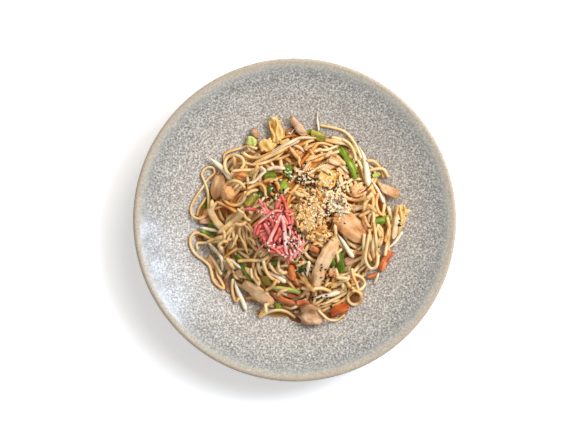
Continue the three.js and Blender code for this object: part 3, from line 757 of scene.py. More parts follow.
def lie_of(name):
    """The middle, heading, sizes, bow and height over the heap of a packed topping."""
    corners = np.array([vertex.co for vertex in nodes[name].data.vertices]) / MM
    flat = corners[:, :2]
    middle = flat.mean(0)
    along = np.linalg.eigh(np.cov((flat - middle).T))[1][:, 1]
    across = np.array([-along[1], along[0]])
    far = (flat - middle) @ along
    side = (flat - middle) @ across
    half = np.ptp(far) / 2
    centre = (far.max() + far.min()) / 2
    # The thinner end goes in front.
    if np.ptp(side[far > centre + half * 0.4]) > np.ptp(side[far < centre - half * 0.4]):
        along, across, far, side, centre = -along, -across, -far, -side, -centre
    # A piece is bowed by as much as its middle stands off its ends.
    inner = np.abs(far - centre) < half * 0.35
    bow = side[inner].mean() - side[~inner].mean() if inner.any() else 0.0
    rise = corners[:, 2] - heap_height(flat[:, 0], flat[:, 1])
    slid = SLID.get(name, (0, 0, 0))
    longer, broader = FLATTENED.get(name, (1, 1))
    return {
        "middle": middle + along * centre + across * (side.max() + side.min()) / 2 + slid[:2],
        "heading": math.atan2(along[1], along[0]), "length": 2 * half * longer,
        "width": (np.ptp(side) - 0.6 * abs(bow)) * broader, "thick": np.ptp(rise), "bow": 1.3 * bow,
        "base": rise.min() + slid[2],
    }


def lie_at(x, y, degrees, length, width, thick):
    """The lie of a small bit that rests on what has been laid so far."""
    near = np.hypot(grid_x - x, grid_y - y) < length / 3
    base = float(np.percentile((level - heap_map)[near], REST_SHARE)) - BIT_SINK * thick
    return {"middle": np.array([x, y]), "heading": math.radians(degrees), "length": length, "width": width,
            "thick": thick, "bow": 0.0, "base": base}


def settle(local, lie):
    """Carries points from the topping's own directions to the dish, draped over the heap and bowed."""
    share = 2 * local[:, 0] / lie["length"]
    side = local[:, 1] + lie["bow"] * (0.5 - share**2)
    cos, sin = math.cos(lie["heading"]), math.sin(lie["heading"])
    x = lie["middle"][0] + cos * local[:, 0] - sin * side
    y = lie["middle"][1] + sin * local[:, 0] + cos * side
    return np.column_stack([x, y, heap_height(x, y) + lie["base"] + local[:, 2]])


def rough(points, size, seed=0):
    """Soft noise from about -1 to 1 at each point, with lumps of a size in millimetres."""
    shift = Vector((17.3 * seed, 5.1 * seed, 2.7 * seed))
    return np.array([noise.noise(Vector(point) + shift) for point in points / np.asarray(size, dtype=float)])


def block(name, cuts, squareness):
    """A rounded block: a cube cut finely and drawn in to a rounder form. Returns its unit points too."""
    deselect()
    bpy.ops.mesh.primitive_cube_add(size=2 * MM)
    piece = bpy.context.object
    piece.name = piece.data.name = name
    press(lambda: bpy.ops.mesh.subdivide(number_cuts=cuts))
    piece.data.shade_smooth()
    unit = points_of(piece)
    return piece, unit / (np.abs(unit) ** squareness).sum(1, keepdims=True) ** (1 / squareness)


def join_pieces(name, parts):
    """Joins small bits of one kind in one piece."""
    deselect()
    for part in parts:
        part.select_set(True)
    bpy.context.view_layer.objects.active = parts[0]
    bpy.ops.object.join()
    parts[0].name = parts[0].data.name = name
    return parts[0]


print("lie of chicken_1:", {key: np.round(value, 1).tolist() for key, value in lie_of("chicken_1").items()})

# %% [markdown]
# Chicken thigh is sliced in strips and seared. Its fibres run along the strip and stand out as fine ridges,
# and the ends are ragged. A bump in the finish would draw the ridges, but not the ragged outline, so a
# finely cut block is shaped by noise that is long along the strip and short across it, and the same noise
# sets the tone: the ridges, the lumps and the top are painted lighter than the grooves and the underside,
# as painted light and shade. Some strips are of the darker meat by the bone.

# %% Chicken
# Seared thigh: tan with brown edges, softly lit from within and glossy with juice.
meat = food("seared_chicken_thigh", [
    (0.0, "#5f3216"), (0.25, "#9e6232"), (0.5, "#c98d55"), (0.75, "#dfab74"), (1.0, "#f0cb9e"),
], grain=1.5, relief=0.25, roughness=0.36, soak=0.3, coat=0.4, variation=0.3)
# The darker meat by the bone: pinker and duller in colour, and a little wetter.
dark_meat = food("seared_dark_meat", [
    (0.0, "#643a22"), (0.25, "#9a6842"), (0.5, "#c29068"), (0.75, "#dbb088"), (1.0, "#f0d2b0"),
], grain=1.5, relief=0.3, roughness=0.36, soak=0.25, coat=0.45, variation=0.35)


def meat_strip(name, lie, seed, light=0.55, taper=0.15, slim=1.0, squareness=2.8, cuts=34, dark_side=0):
    """A strip of meat. slim is its width as a share of its lie's, and dark_side how brown its +Y side is."""
    piece, unit = block(name, cuts, squareness)
    size = np.array([lie["length"], lie["width"], lie["thick"]]) / 2
    local = unit * size
    # The strip swells and narrows along its length, and tapers towards its front.
    waist = rough(local * (1, 0, 0), 9, seed + 120)
    local[:, 1:] *= 1.04 + 0.3 * waist[:, None]
    local[:, 1] *= slim * (1 - taper * unit[:, 0])
    # Fibres and lumps stand out of the surface, and the ends and sides are torn.
    fibre = rough(local, (11, 1.5, 1.5), seed)
    lumps = rough(local, (8, 5, 5), seed + 40)
    ragged = rough(local, (2.5, 2.0, 2.0), seed + 80)
    swell = 1 + 0.07 * fibre * (4 / max(size[1], 3)) + 0.12 * lumps
    local = local * swell[:, None]
    local[:, 0] += 0.2 * size[0] * ragged * unit[:, 0] ** 4
    local[:, 1] += 0.25 * size[1] * rough(local, (5, 5, 5), seed + 200) * np.abs(unit[:, 0]) ** 2
    local[:, 0] = np.clip(local[:, 0], -size[0], size[0])
    local[:, 1] = np.clip(local[:, 1], -size[1] * 1.06, size[1] * 1.06)
    local[:, 2] = np.clip(local[:, 2], -size[2], size[2] * 1.1) + size[2]
    move_points(piece, settle(local, lie))
    # It browns in patches, and more at its edges.
    edge = unit[:, 0] ** 4 + unit[:, 1] ** 4
    browned = np.clip(rough(local, (9, 4, 4), seed + 160) + 0.35 * edge - 0.35, 0, 1)
    # The ridges, lumps and top are painted lighter, and the grooves and underside darker: painted light and
    # shade. The browned patches are the meat's own.
    tone = light + 0.13 * fibre + 0.35 * lumps + 0.16 * unit[:, 2] - 0.6 * browned
    far_side = unit[:, 0] * math.sin(lie["heading"]) + unit[:, 1] * math.cos(lie["heading"])
    tone -= dark_side * np.clip(0.5 + 2.5 * far_side, 0, 1)
    give_tone(piece, np.clip(tone, 0, 1))
    return piece


def nodes_of(kind):
    """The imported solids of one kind, in order."""
    found = [name for name in nodes if name.startswith(kind + "_")]
    return sorted(found, key=lambda name: int(name.split("_")[-1]))


# Each strip in turn: how light it is, how much it tapers, how slim it is and how square.
MEAT_FORMS = [
    (0.5, 0.1, 1.0, 2.5), (0.76, -0.08, 1.12, 2.3), (0.8, 0.12, 1.05, 2.2), (0.56, 0.1, 1.0, 2.3),
    (0.56, 0.1, 1.1, 2.2), (0.62, 0.1, 0.68, 2.8), (0.56, -0.1, 0.95, 2.6), (0.5, 0.1, 0.8, 2.6),
    (0.45, 0.1, 0.9, 3),
]
DARK_MEAT = {"chicken_4", "chicken_6", "chicken_8", "chicken_9"}
SEARED_FAR_SIDE = {"chicken_4": 0.22}  # how much browner the side towards +Y is
for number, name in enumerate(nodes_of("chicken")):
    dark_side = SEARED_FAR_SIDE.get(name, 0)
    strip = meat_strip(f"{name}_strip", lie_of(name), number, *MEAT_FORMS[number], dark_side=dark_side)
    hand_over(strip, dark_meat if name in DARK_MEAT else meat, "chicken", name)
print("chicken strips:", len(nodes_of("chicken")))

# %% [markdown]
# Small peeled prawns curl when they cook. Each one could be sculpted, but at this size only the curl, the
# taper to the tail and the rings of the body show, with orange bands over paler flesh. So the body is a
# thick strand along an arc whose width swells at each ring. The food round two of them rests on their
# backs.

# %% Prawns
# Cooked prawn: firm, smooth and wet, orange where the skin was and pale in between.
prawn_flesh = food("cooked_prawn_flesh", [
    (0.0, "#c46a28"), (0.35, "#e28f48"), (0.6, "#eca868"), (0.8, "#f2bb84"), (1.0, "#f9d6b2"),
], grain=2.0, relief=0.08, roughness=0.3, soak=0.25, coat=0.45, variation=0.2)
# Each prawn: where its back faces, in degrees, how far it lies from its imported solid, in millimetres, how
# far it curls, in degrees, half its thickness as a share of its length, how light it is, and if food rests
# on it.
PRAWNS = {
    "prawn_1": (190, (1.9, 1.0, 6.4), 290, 0.46, 0.5, False),
    "prawn_2": (130, (0.4, -2.0, 0), 250, 0.31, 0.62, True),
    "prawn_3": (90, (-0.8, -4.4, 5.0), 205, 0.36, 0.3, True),
}
PRAWN_RINGS = 6
PRAWN_POINTS = 70
PRAWN_SIDES = 24
BAND = 0.2  # how much lighter a ring is than the joint between two


def prawn_body(name, lie, heading, shift, curled, plump, light, carries):
    """A curled body, with its angles in radians. carries says if food rests on it."""
    share = np.linspace(0, 1, PRAWN_POINTS)
    thick = plump * lie["length"]
    curl = 0.5 * lie["length"] - thick
    angle = curled * (share - 0.5)
    local = np.stack([curl * np.cos(angle), curl * np.sin(angle)], -1)
    cos, sin = math.cos(heading), math.sin(heading)
    centre = lie["middle"] + shift[:2]
    flat = centre + local @ np.array([[cos, sin], [-sin, cos]]) - np.array([cos, sin]) * curl * 0.35
    rings = np.abs(np.sin(math.pi * PRAWN_RINGS * share))
    round_ends = np.clip(1.02 - (2 * share - 1) ** 8, 0.1, 1)
    radii = thick * (1.05 - 0.3 * share) * (0.95 + 0.05 * rings) * round_ends
    height = heap_height(flat[:, 0], flat[:, 1]) + lie["base"] + lie["thick"] - 0.9 * thick + shift[2]
    middle = np.column_stack([flat, height])
    if carries:
        stamp(middle, 0.85 * thick, over_toppings)
    return tubes(name, [(middle, radii, light + BAND * rings)], PRAWN_SIDES, flat=0.85)


for name, (degrees, shift, curled, *form) in PRAWNS.items():
    turn, curl = math.radians(degrees), math.radians(curled)
    hand_over(prawn_body(f"{name}_body", lie_of(name), turn, shift, curl, *form), prawn_flesh, "prawn", name)
print("prawns:", len(PRAWNS))

# %% [markdown]
# Beaten egg sets in the hot pan in thin, folded sheets with a torn edge. A sheet could be folded by a cloth
# simulation, but its folds would fall differently from the real ones and its edge would stay straight. Here
# each piece is a flat block whose outline is torn by noise and which is creased by a few sharp folds.

# %% Egg
# Egg set in a pan: yellow to cream, darker in the hollows between its folds, soft and only slightly shiny.
egg_set = food("pan_set_egg", [
    (0.0, "#9f6114"), (0.25, "#cb9440"), (0.5, "#e1b25f"), (0.75, "#edc881"), (1.0, "#f7dea8"),
], grain=2.2, relief=0.25, roughness=0.45, soak=0.3, coat=0.25, variation=0.3)
EGG_SQUARENESS = 2.6
CREASE_HEIGHT = 1.3  # millimetres
EGG_LIGHT = [0.52, 0.52, 0.38, 0.52]  # how light each piece is


def egg_fold(name, lie, seed, cuts=30, light=0.55):
    """A torn and creased sheet of egg."""
    piece, unit = block(name, cuts, EGG_SQUARENESS)
    size = np.array([lie["length"], lie["width"], lie["thick"]]) / 2
    local = unit * size
    edge = rough(unit * (1, 1, 0), 0.42, seed)
    local[:, :2] *= (0.95 + 0.3 * edge * np.clip(np.hypot(unit[:, 0], unit[:, 1]), 0, 1) ** 2)[:, None]
    crease = 1 - np.abs(rough(local * (1, 1, 0), (9, 4.5, 5), seed + 20)) * 3.2
    fine = rough(local * (1, 1, 0), 2.2, seed + 50)
    local[:, 2] = local[:, 2] + size[2] + CREASE_HEIGHT * np.clip(crease, -0.6, 1) + 0.2 * fine
    local[:, 0] = np.clip(local[:, 0], -size[0], size[0])
    local[:, 1] = np.clip(local[:, 1], -size[1], size[1])
    local[:, 2] = np.clip(local[:, 2], 0, None)
    move_points(piece, settle(local, lie))
    # The tone follows the folds: lighter on their ridges and darker in the hollows between them.
    give_tone(piece, np.clip(light + 0.3 * crease + 0.15 * fine, 0, 1))
    return piece


for number, (name, light) in enumerate(zip(nodes_of("egg"), EGG_LIGHT)):
    hand_over(egg_fold(f"{name}_fold", lie_of(name), number, light=light), egg_set, "egg", name)
print("egg pieces:", len(nodes_of("egg")))

# %% [markdown]
# Spring onion leaves are cut in strips and snips, green when young and yellowed when old, and the stem
# gives pale discs. A strip is a piece of a tube wall, so it arches across, and fine veins run along it.
# Pepper and carrot strips are stiffer and glossier, and arch less. Each kind could have a model of its own,
# but a knife makes them all, so one function makes them from a block: the arch, the veins and the
# squareness differ.

# %% Greens and peppers
# Wilted leaf: deep green and satin, with a thin film of oil.
leaf = food("wilted_spring_onion_leaf", [
    (0.0, "#1b2f07"), (0.25, "#445c0e"), (0.5, "#788f1e"), (0.75, "#a9b640"), (1.0, "#d4d888"),
], grain=3.0, relief=0.08, roughness=0.33, soak=0.12, coat=0.4, variation=0.18)
# Old leaf: olive to straw, a little more translucent.
old_leaf = food("yellowed_spring_onion", [
    (0.0, "#4a420d"), (0.25, "#81751d"), (0.5, "#ada13e"), (0.75, "#cec574"), (1.0, "#ebe6b6"),
], grain=3.0, relief=0.08, roughness=0.33, soak=0.2, coat=0.4, variation=0.2)
# Pepper skin: brick red, smooth and glossy.
skin = food("fried_red_pepper", [
    (0.0, "#741c08"), (0.3, "#a83c16"), (0.55, "#c8622e"), (0.8, "#e08e54"), (1.0, "#f0bd88"),
], grain=3.0, relief=0.08, roughness=0.28, soak=0.15, coat=0.5, variation=0.2)
# Carrot: orange, softer in its shine, lit a little from within.
carrot = food("fried_carrot", [
    (0.0, "#8a340a"), (0.3, "#c25a1c"), (0.55, "#df7d3c"), (0.8, "#ec9f64"), (1.0, "#f6c69a"),
], grain=2.5, relief=0.1, roughness=0.3, soak=0.25, coat=0.45, variation=0.25)


def cut_strip(name, lie, seed, light, arch, squareness=3.2, cuts=22, vein=0.25):
    """A cut strip with slanted ends. arch is how much of its thickness comes from arching across.

    0 is a solid stick. vein is how strongly the veins that run along it show in its tone."""
    piece, unit = block(name, cuts, squareness)
    size = np.array([lie["length"], lie["width"], lie["thick"]]) / 2
    slant = 0.5 * math.sin(5 * seed + 1) * size[1]  # differs from strip to strip
    local = unit * size
    veins = rough(local, (16, 0.9, 6), seed)
    lumps = rough(local, (7, 4, 5), seed + 30)
    outline = rough(local * (1, 1, 0), (5, 3, 5), seed + 60)
    ridge = 2 * size[2] * arch * (1 - unit[:, 1] ** 2) * (0.85 + 0.5 * lumps)
    height = ridge + (1 - arch) * (local[:, 2] + size[2]) + 0.1 * veins + 0.3 * lumps
    local[:, 2] = np.clip(height, 0, 2 * size[2])
    local[:, 1] *= 1 + 0.3 * outline
    local[:, 1] = np.clip(local[:, 1], -1.05 * size[1], 1.05 * size[1])
    local[:, 0] = np.clip(local[:, 0] + slant * unit[:, 1] * np.abs(unit[:, 0]) ** 3, -size[0], size[0])
    move_points(piece, settle(local, lie))
    # Its top face is painted a little lighter than its underside: painted light.
    give_tone(piece, np.clip(light + vein * veins + 0.25 * lumps + 0.08 * unit[:, 2], 0, 1))
    return piece


# How light each green is.
LEAF_LIGHT = [0.85, 0.42, 0.3, 0.32, 0.36, 0.42, 0.5, 0.36, 0.42, 0.36, 0.44, 0.28, 0.4, 0.45, 0.42, 0.8]
DISCS = {"green_1"}  # cut across the stem
DISC_FORM = {"arch": 0.2, "squareness": 2.2}
LEAF_FORM = {"arch": 0.6, "squareness": 6}
THIN = 3.2  # a leaf whose solid is thinner, in millimetres, has spread
SPREAD = 1.2  # to this many times its width
YELLOWED = {"green_3", "green_7", "green_15"}
for number, name in enumerate(nodes_of("green")):
    form = DISC_FORM if name in DISCS else LEAF_FORM
    lie = lie_of(name)
    lie["width"] *= SPREAD if lie["thick"] < THIN else 1
    strip = cut_strip(f"{name}_leaf", lie, number, LEAF_LIGHT[number], **form)
    hand_over(strip, old_leaf if name in YELLOWED else leaf, "spring_onion", name)
SKIN_LIGHT = [0.6, 0.56, 0.6, 0.17, 0.46, 0.6, 0.5]
CARROTS = {"pepper_4", "pepper_5", "pepper_6"}
SKIN_FORM = {"arch": 0.4, "squareness": 4.5}
for number, name in enumerate(nodes_of("pepper")):
    strip = cut_strip(f"{name}_strip", lie_of(name), number + 50, SKIN_LIGHT[number], **SKIN_FORM)
    hand_over(strip, carrot if name in CARROTS else skin, "pepper", name)
print("greens:", len(nodes_of("green")), "peppers:", len(nodes_of("pepper")))

# %% [markdown]
# Onion softens to translucent layers: curved, thin sheets with fine lines along them, so a layer is cut and
# arched as a leaf is. Bean sprouts are crisp, almost white stalks that taper to a hair-thin root. A stalk
# could be a scaled cylinder, but it bends and thins, so it is a strand with a width for each point.

# %% Onion and sprouts
# Softened onion: translucent cream to caramel, smooth and wet.
soft_onion = food("softened_onion_layer", [
    (0.0, "#945e26"), (0.3, "#c68f48"), (0.55, "#dfb06c"), (0.8, "#ecc890"), (1.0, "#f7dfb8"),
], grain=3.0, relief=0.06, roughness=0.3, soak=0.35, coat=0.4, variation=0.2)
for number, name in enumerate(nodes_of("onion")):
    layer = cut_strip(f"{name}_layer", lie_of(name), number + 70, 0.55, arch=0.6, vein=0.35)
    hand_over(layer, soft_onion, "onion", name)

# Bean sprout: nearly white, crisp and shiny, lit from within.
stalk = food("bean_sprout_stalk", [
    (0.0, "#b08a50"), (0.3, "#dcbf8c"), (0.6, "#f3e1bd"), (1.0, "#fff4dc"),
], grain=4.0, relief=0.05, roughness=0.25, soak=0.35, coat=0.5, variation=0.15)
SPROUT_SIDES = 14
STALK_LIGHT = 0.78
ROOT_DARKER = 0.2  # how much darker the root end is


def sprout_stem(name, lie, seed):
    """A stalk that wavers a little and tapers to its root."""
    share = np.linspace(0, 1, int(lie["length"] / 0.8))
    thick = lie["width"] * 0.52
    far = (share - 0.5) * (lie["length"] - 0.6)
    local = np.stack([far, 0.35 * np.sin(7 * share + seed), 0 * far], -1)
    middle = settle(local, lie)
    taper = np.clip(1.04 - share**3, 0.2, 1) * np.clip(0.35 + 9 * share, 0, 1)
    radii = thick * np.minimum(taper, 1) * (1 + 0.06 * np.sin(9 * share + seed))
    middle[:, 2] += thick
    root = np.clip(share - 0.75, 0, 1) / 0.25
    return tubes(name, [(middle, radii, STALK_LIGHT - ROOT_DARKER * root)], SPROUT_SIDES)


for number, name in enumerate(nodes_of("sprout")):
    hand_over(sprout_stem(f"{name}_stem", lie_of(name), number), stalk, "sprout", name)
print("onion layers:", len(nodes_of("onion")), "sprouts:", len(nodes_of("sprout")))

# %% [markdown]
# Small bits fill the dish between the large toppings: snips of leaf and pepper, torn egg, scraps of onion
# and offcuts of meat. They could be scattered at random, but the eye knows a dish by where its bits lie, so
# each has its place. The functions of the large toppings make them, with fewer cuts. Each row gives the
# bit's x and y, heading in degrees, length, width and thickness in millimetres, and how light it is.

# %% Small bits
DARK_OFFCUTS = [
    (-3, 74.5, 40, 10, 7, 4, 0.15), (60, 0, 30, 7, 5, 3, 0.3), (45.8, -34.6, 20, 9, 7, 4, 0.35),
    (30.5, -43, 60, 6, 4, 3, 0.35), (-48, -46, 30, 10, 7, 4, 0.3), (-33, -52, -70, 14, 4, 3, 0.3),
    (-57.5, -54.5, -73, 15, 6, 3, 0.2), (-74.5, 5, 70, 10, 7, 3, 0.45),
]
PALE_OFFCUTS = [
    (29, 44, 12, 11, 4, 3, 0.72), (39.5, 39, -50, 12, 4, 3, 0.7), (48, 55, 80, 7, 5, 4, 0.6),
    (34, 49, -25, 11, 6, 4, 0.66), (10, -61, -50, 6, 4, 3, 0.6), (4, 56, 20, 6, 4, 3, 0.55),
    (9, 60, -60, 5, 3, 3, 0.6), (-70.3, -36.6, -48, 13, 7, 5, 0.5),
]
EGG_BITS = [
    (-12, 71, 60, 14, 6, 3, 0.6), (90.5, -2, 70, 14, 6, 3, 0.6), (84, -7, 80, 19, 7, 3, 0.65),
    (88, 8, 60, 9, 5, 2, 0.7), (32, -55, 10, 9, 5, 3, 0.5), (40, -60, 40, 7, 4, 3, 0.5),
    (22, 31, 20, 9, 7, 3, 0.85), (-35, 66, 10, 8, 6, 3, 0.55), (-22, 61, 70, 9, 5, 2, 0.6),
    (-19.5, 65, 62, 17, 9, 3, 0.6), (92, 6, 15, 12, 5, 2, 0.7), (79, -11, 70, 16, 5, 3, 0.6),
    (86, -1, 40, 12, 8, 3, 0.6), (36, -53.5, 20, 10, 4, 4, 0.7), (42.5, -56, 80, 9, 4, 4, 0.75),
    (34, -60.5, 0, 7, 4, 3, 0.7),
]
ONION_BITS = [
    (-55.7, -39.6, -30, 11, 7, 2, 0.8), (-8, 66, 20, 9, 5, 2, 0.7),
]
LEAF_BITS = [
    (-76, 13, 70, 8, 5, 2, 0.35), (-21, 25, 70, 8, 5, 2, 0.15), (-29, 21, 20, 6, 5, 2, 0.2),
    (-16, 18, 80, 6, 4, 2, 0.2), (6, -40, 80, 8, 5, 2, 0.15), (79, 2, 30, 6, 4, 2, 0.45),
    (69, 38, 20, 7, 4, 2, 0.75), (12, 74.5, 20, 7, 4, 2, 0.5), (-3, 36, 70, 6, 3, 2, 0.35),
    (-36.5, 38.5, -20, 8, 5, 2, 0.62), (31.5, -35, -70, 8, 5, 2, 0.3), (-40, -49, -62, 10, 4, 2, 0.35),
    (-17.5, -36.5, 20, 8, 5, 3, 0.15), (63.5, -37, 30, 6, 3, 2, 0.4),
]
SKIN_BITS = [
    (77, -18, 60, 6, 4, 3, 0.6), (5, -55, 30, 6, 3, 3, 0.6), (-2, -64, -20, 9, 3, 2, 0.3),
    (51.2, -27, 40, 5, 3, 2, 0.65), (2, -53, -40, 5, 3, 4, 0.65), (7, -58, 10, 5, 3, 4, 0.6),
    (29.5, -46, 30, 7, 4, 3, 0.75), (11, -63, 60, 5, 3, 3, 0.7),
]


def bits(name, rows, make, material, slot):
    """All small bits of one kind, made by make and joined in one piece."""
    parts = []
    for number, (*place_and_size, light) in enumerate(rows):
        parts.append(make(f"{name}_{number}", lie_at(*place_and_size), number + 90, light))
    return hand_over(join_pieces(name, parts), material, slot)


def offcut(*facts):
    """A small piece of meat."""
    return meat_strip(*facts, squareness=2.6, cuts=16)


def egg_bit(name, lie, seed, light):
    """A small piece of egg."""
    return egg_fold(name, lie, seed, 16, light)


# Each kind: its piece's name, its rows, what makes one bit, its finish and its slot.
BIT_KINDS = [
    ("dark_offcuts", DARK_OFFCUTS, offcut, dark_meat, "chicken"),
    ("pale_offcuts", PALE_OFFCUTS, offcut, meat, "chicken"),
    ("torn_egg", EGG_BITS, egg_bit, egg_set, "egg"),
    ("onion_scraps", ONION_BITS, partial(cut_strip, arch=0.3, cuts=14), soft_onion, "onion"),
    ("snips_of_leaf", LEAF_BITS, partial(cut_strip, arch=0.5, cuts=14), leaf, "spring_onion"),
    ("snips_of_pepper", SKIN_BITS, partial(cut_strip, arch=0.2, cuts=12), skin, "pepper"),
]
for kind in BIT_KINDS:
    piece = bits(*kind)
    print(piece.name, "made of", len(kind[1]), "bits")

# %% [markdown]
# Some strands stand out: loops that hang over the heap's edge, rings, and long strands that cross the
# toppings. Random strands would fill these places as well, but a dish is known by its loops, so their
# routes are listed, as the places that each one passes, seen from above. They rest on everything
# laid so far, toppings included.

# %% Loops, rings and long strands
# Each route: the x and y of the places that it passes, in millimetres.
LOOPS = [
    [(-60, 12), (-70, 8), (-76, 3), (-81, 1), (-86.5, 4), (-87.5, 11), (-83, 20), (-77.5, 28), (-73, 35),
     (-68, 39.5), (-69, 44), (-74.5, 44), (-78.5, 39), (-76, 32), (-73.5, 24), (-73, 14), (-74.5, 6),
     (-79, 1.5)],
    [(-82.5, 3.5), (-81, 9.5), (-77.5, 15), (-75, 19)],
    [(-50, -15), (-62, -17), (-72, -15.5), (-78, -12), (-84, -11), (-88, -15.5), (-87.5, -22.5),
     (-83.5, -29), (-77, -34), (-72, -39), (-70, -46), (-68.5, -51.5), (-64, -56), (-60, -58.5), (-61, -54),
     (-65, -47), (-66, -40), (-64.5, -34)],
    [(-82, -25), (-82.5, -20), (-76, -19.5), (-68, -18.5), (-58, -17), (-48, -15)],
    [(-52, -50), (-53, -57), (-52, -64), (-49.5, -69), (-47, -66)],
    [(21.5, 80), (30.5, 78.3), (39.5, 76), (45, 72.3), (49.6, 66.5), (53, 60), (56, 52)],
    [(-22, -70), (-27, -77), (-30, -82.5), (-25.5, -79.5), (-19, -76.8), (-12, -76), (-6, -78),
     (0.5, -82.5)],
    [(61, -14), (60, -24), (60, -35), (62.5, -40.5), (66, -41.5), (69, -36), (69, -26), (67.5, -14),
     (66, 0)],
    [(-59.5, 50), (-59.5, 55), (-56, 57.5), (-48, 60), (-40, 62), (-32, 60)],
    [(20, -76), (24, -80), (29, -84), (36, -84.5), (42, -80)],
    [(40, -52), (46, -56), (52, -58.5), (57, -63)],
    [(44, -48), (50, -46), (57, -49), (59, -55), (54, -59), (48, -57)],
    [(-73, -18.3), (-66, -15.5), (-60, -12.5), (-54, -9.5)],
]
# Each ring: its middle, its radius, and the angles at which it starts and through which it turns, in radians.
RINGS = [((-50.6, 22.4), 9.5, 0.4, 6.0), ((50.4, -65.4), 5.6, 2.0, 6.2)]
RING_DEEPER = 1.08  # a ring is a little deeper than wide
CROSSINGS = [
    [(-70, 9.5), (-65.5, 14.5), (-61, 13.5), (-54.5, 10), (-49, 6.5)],
    [(-53, 36), (-57.5, 41), (-59, 47.5), (-56.5, 53), (-50, 54.5), (-44.5, 52), (-42.5, 47), (-45, 42)],
    [(-52, 40.6), (-44, 41.5), (-34, 42), (-27, 45)],
    [(-14, 57), (-21, 55.5), (-30, 52), (-38, 53), (-43, 56)],
    [(-39, 26), (-33, 29), (-28, 29.5), (-25, 26), (-24, 20)],
    [(-25, 32), (-18.5, 33.5), (-14, 29), (-13, 24)],
    [(-6, 62), (-1, 56.5), (4, 51.5), (8, 43)],
    [(19, 64), (14.5, 58), (9, 51.5), (4, 46)],
    [(37, 57.5), (28, 54.5), (19, 50), (10, 48.5)],
    [(26, 67), (36, 65), (44.5, 63.5), (48.5, 59), (49.5, 52)],
    [(40, 68), (46, 64), (50, 57), (51.5, 50)],
    [(61, 50), (67, 49.3), (72.6, 43), (75, 36)],
    [(63.4, 41.7), (69, 43), (75, 42.5), (79, 36)],
    [(58, 22), (59, 12), (57, 4), (58, -4)],
    [(65, 26), (66, 14), (64, 6), (66, -4)],
    [(70, 22), (68.5, 14), (71, 6), (75, 4)],
    [(57, 10), (64, 7.5), (66, 2), (64.5, -6)],
    [(54, 3), (60, 6), (63.5, 9)],
    [(67, -6), (71, -10), (74, -14)],
    [(62, -8), (63.5, -18), (62, -28), (64, -34)],
    [(58, -12), (57.5, -22), (58, -30), (56, -38)],
    [(70, -4), (66.5, -14), (65, -24), (66.5, -32)],
    [(66, -2), (67.5, -14), (68.5, -26), (70, -36)],
    [(62, -12), (60, -23), (59, -33), (63.4, -40.5), (68.5, -39), (70, -30)],
    [(76, -30), (78, -20), (80, -10), (78, 2)],
    [(33, -47), (38, -48.5), (42, -50), (46.5, -56)],
    [(48, -41), (49, -47), (52, -54), (54, -60)],
    [(-60, -32.5), (-54, -27.5), (-48, -23.8)],
    [(-47.4, -34.5), (-38, -33.8), (-27, -33.5), (-21.5, -30)],
    [(-26, -34), (-24.5, -41), (-20, -48), (-13, -52)],
    [(-21, -36), (-18, -41.5), (-13, -44.5), (-6.5, -43.5)],
    [(-24, -59), (-19, -56), (-15, -50)],
    [(-24.5, -70.5), (-24, -78)],
    [(6, -57), (14, -58), (22, -57), (30, -60)],
    [(-41, -66.5), (-35, -65.5), (-29, -68)],
    [(-72, -30), (-66, -38), (-62, -46)],
]
# How wide a loop and any other strand may be, as shares of a noodle, and how much darker each is.
LOOP_WIDTHS = (0.7, 0.88)
OTHER_WIDTHS = (0.82, 1.0)
LOOP_SHADE = -0.07
OTHER_SHADE = -0.15
SHADE_SPREAD = 0.08

top_of_all = np.fmax(level, over_toppings)
named = [even_points(route) for route in LOOPS + CROSSINGS]
for (x, y), reach, begin, sweep in RINGS:
    turn = np.linspace(begin, begin + sweep, 16)
    ring = np.stack([x + reach * np.cos(turn), y + reach * RING_DEEPER * np.sin(turn)], -1)
    named.append(even_points(ring))
for number, path in enumerate(named):
    is_loop = number < len(LOOPS)
    radius = NOODLE * rng.uniform(*(LOOP_WIDTHS if is_loop else OTHER_WIDTHS))
    strand = lay(path, radius, top_of_all, sink=0.1)
    stamp(strand, radius, top_of_all)
    laid.append((strand, radius, rng.normal(LOOP_SHADE if is_loop else OTHER_SHADE, SHADE_SPREAD)))
# Beside the toppings, the garnish rests on these strands too.
level = np.fmax(level, np.where(np.isfinite(over_toppings), level, top_of_all))
print("loops, rings and long strands:", len(named))

# %% [markdown]
# Thin strands of sprout and bands of soft onion lie on top of it all, and slivers of onion all over the
# heap. A band could be a cut layer, but a long one follows what it lies on, so it is a strand too, pressed
# flat. The long ones have listed routes. The slivers are laid at random where no topping is.

# %% Threads of sprout and onion
# Each thread: its route, and half its width in millimetres.
PALE_THREADS = [
    ([(-31, 46), (-24, 51.5), (-16.5, 57), (-10.5, 61), (-3.5, 65), (5, 69), (18, 69)], 1.5),
    ([(-80, -6.5), (-70, -8.5), (-61, -10)], 1.5),
    ([(-71.8, -19.4), (-66, -26.5), (-61.5, -32.5), (-61, -39), (-60.8, -43)], 1.5),
    ([(71, -44.5), (69, -50), (67, -54.5)], 1.0), ([(27, 8), (36, 7.5), (46, 6)], 1.4),
    ([(22, 15), (30, 20), (39, 22)], 1.1), ([(29, 12), (36, 17), (44, 13)], 1.2),
    ([(24, 3), (31, 8), (39, 12)], 1.1), ([(33, 24), (38, 29), (44, 32)], 1.0),
    ([(26, 18), (33, 12), (42, 9)], 1.0),
    ([(-59.7, -34.8), (-54.4, -33.8), (-50, -36.5), (-45.4, -40.7)], 1.5),
    ([(-24, 41.3), (-17, 43.5), (-8, 42.6)], 1.8),
    ([(-41, 30.4), (-34, 31.7), (-27.4, 38), (-24.7, 40.8), (-28.8, 44.7)], 1.4),
]
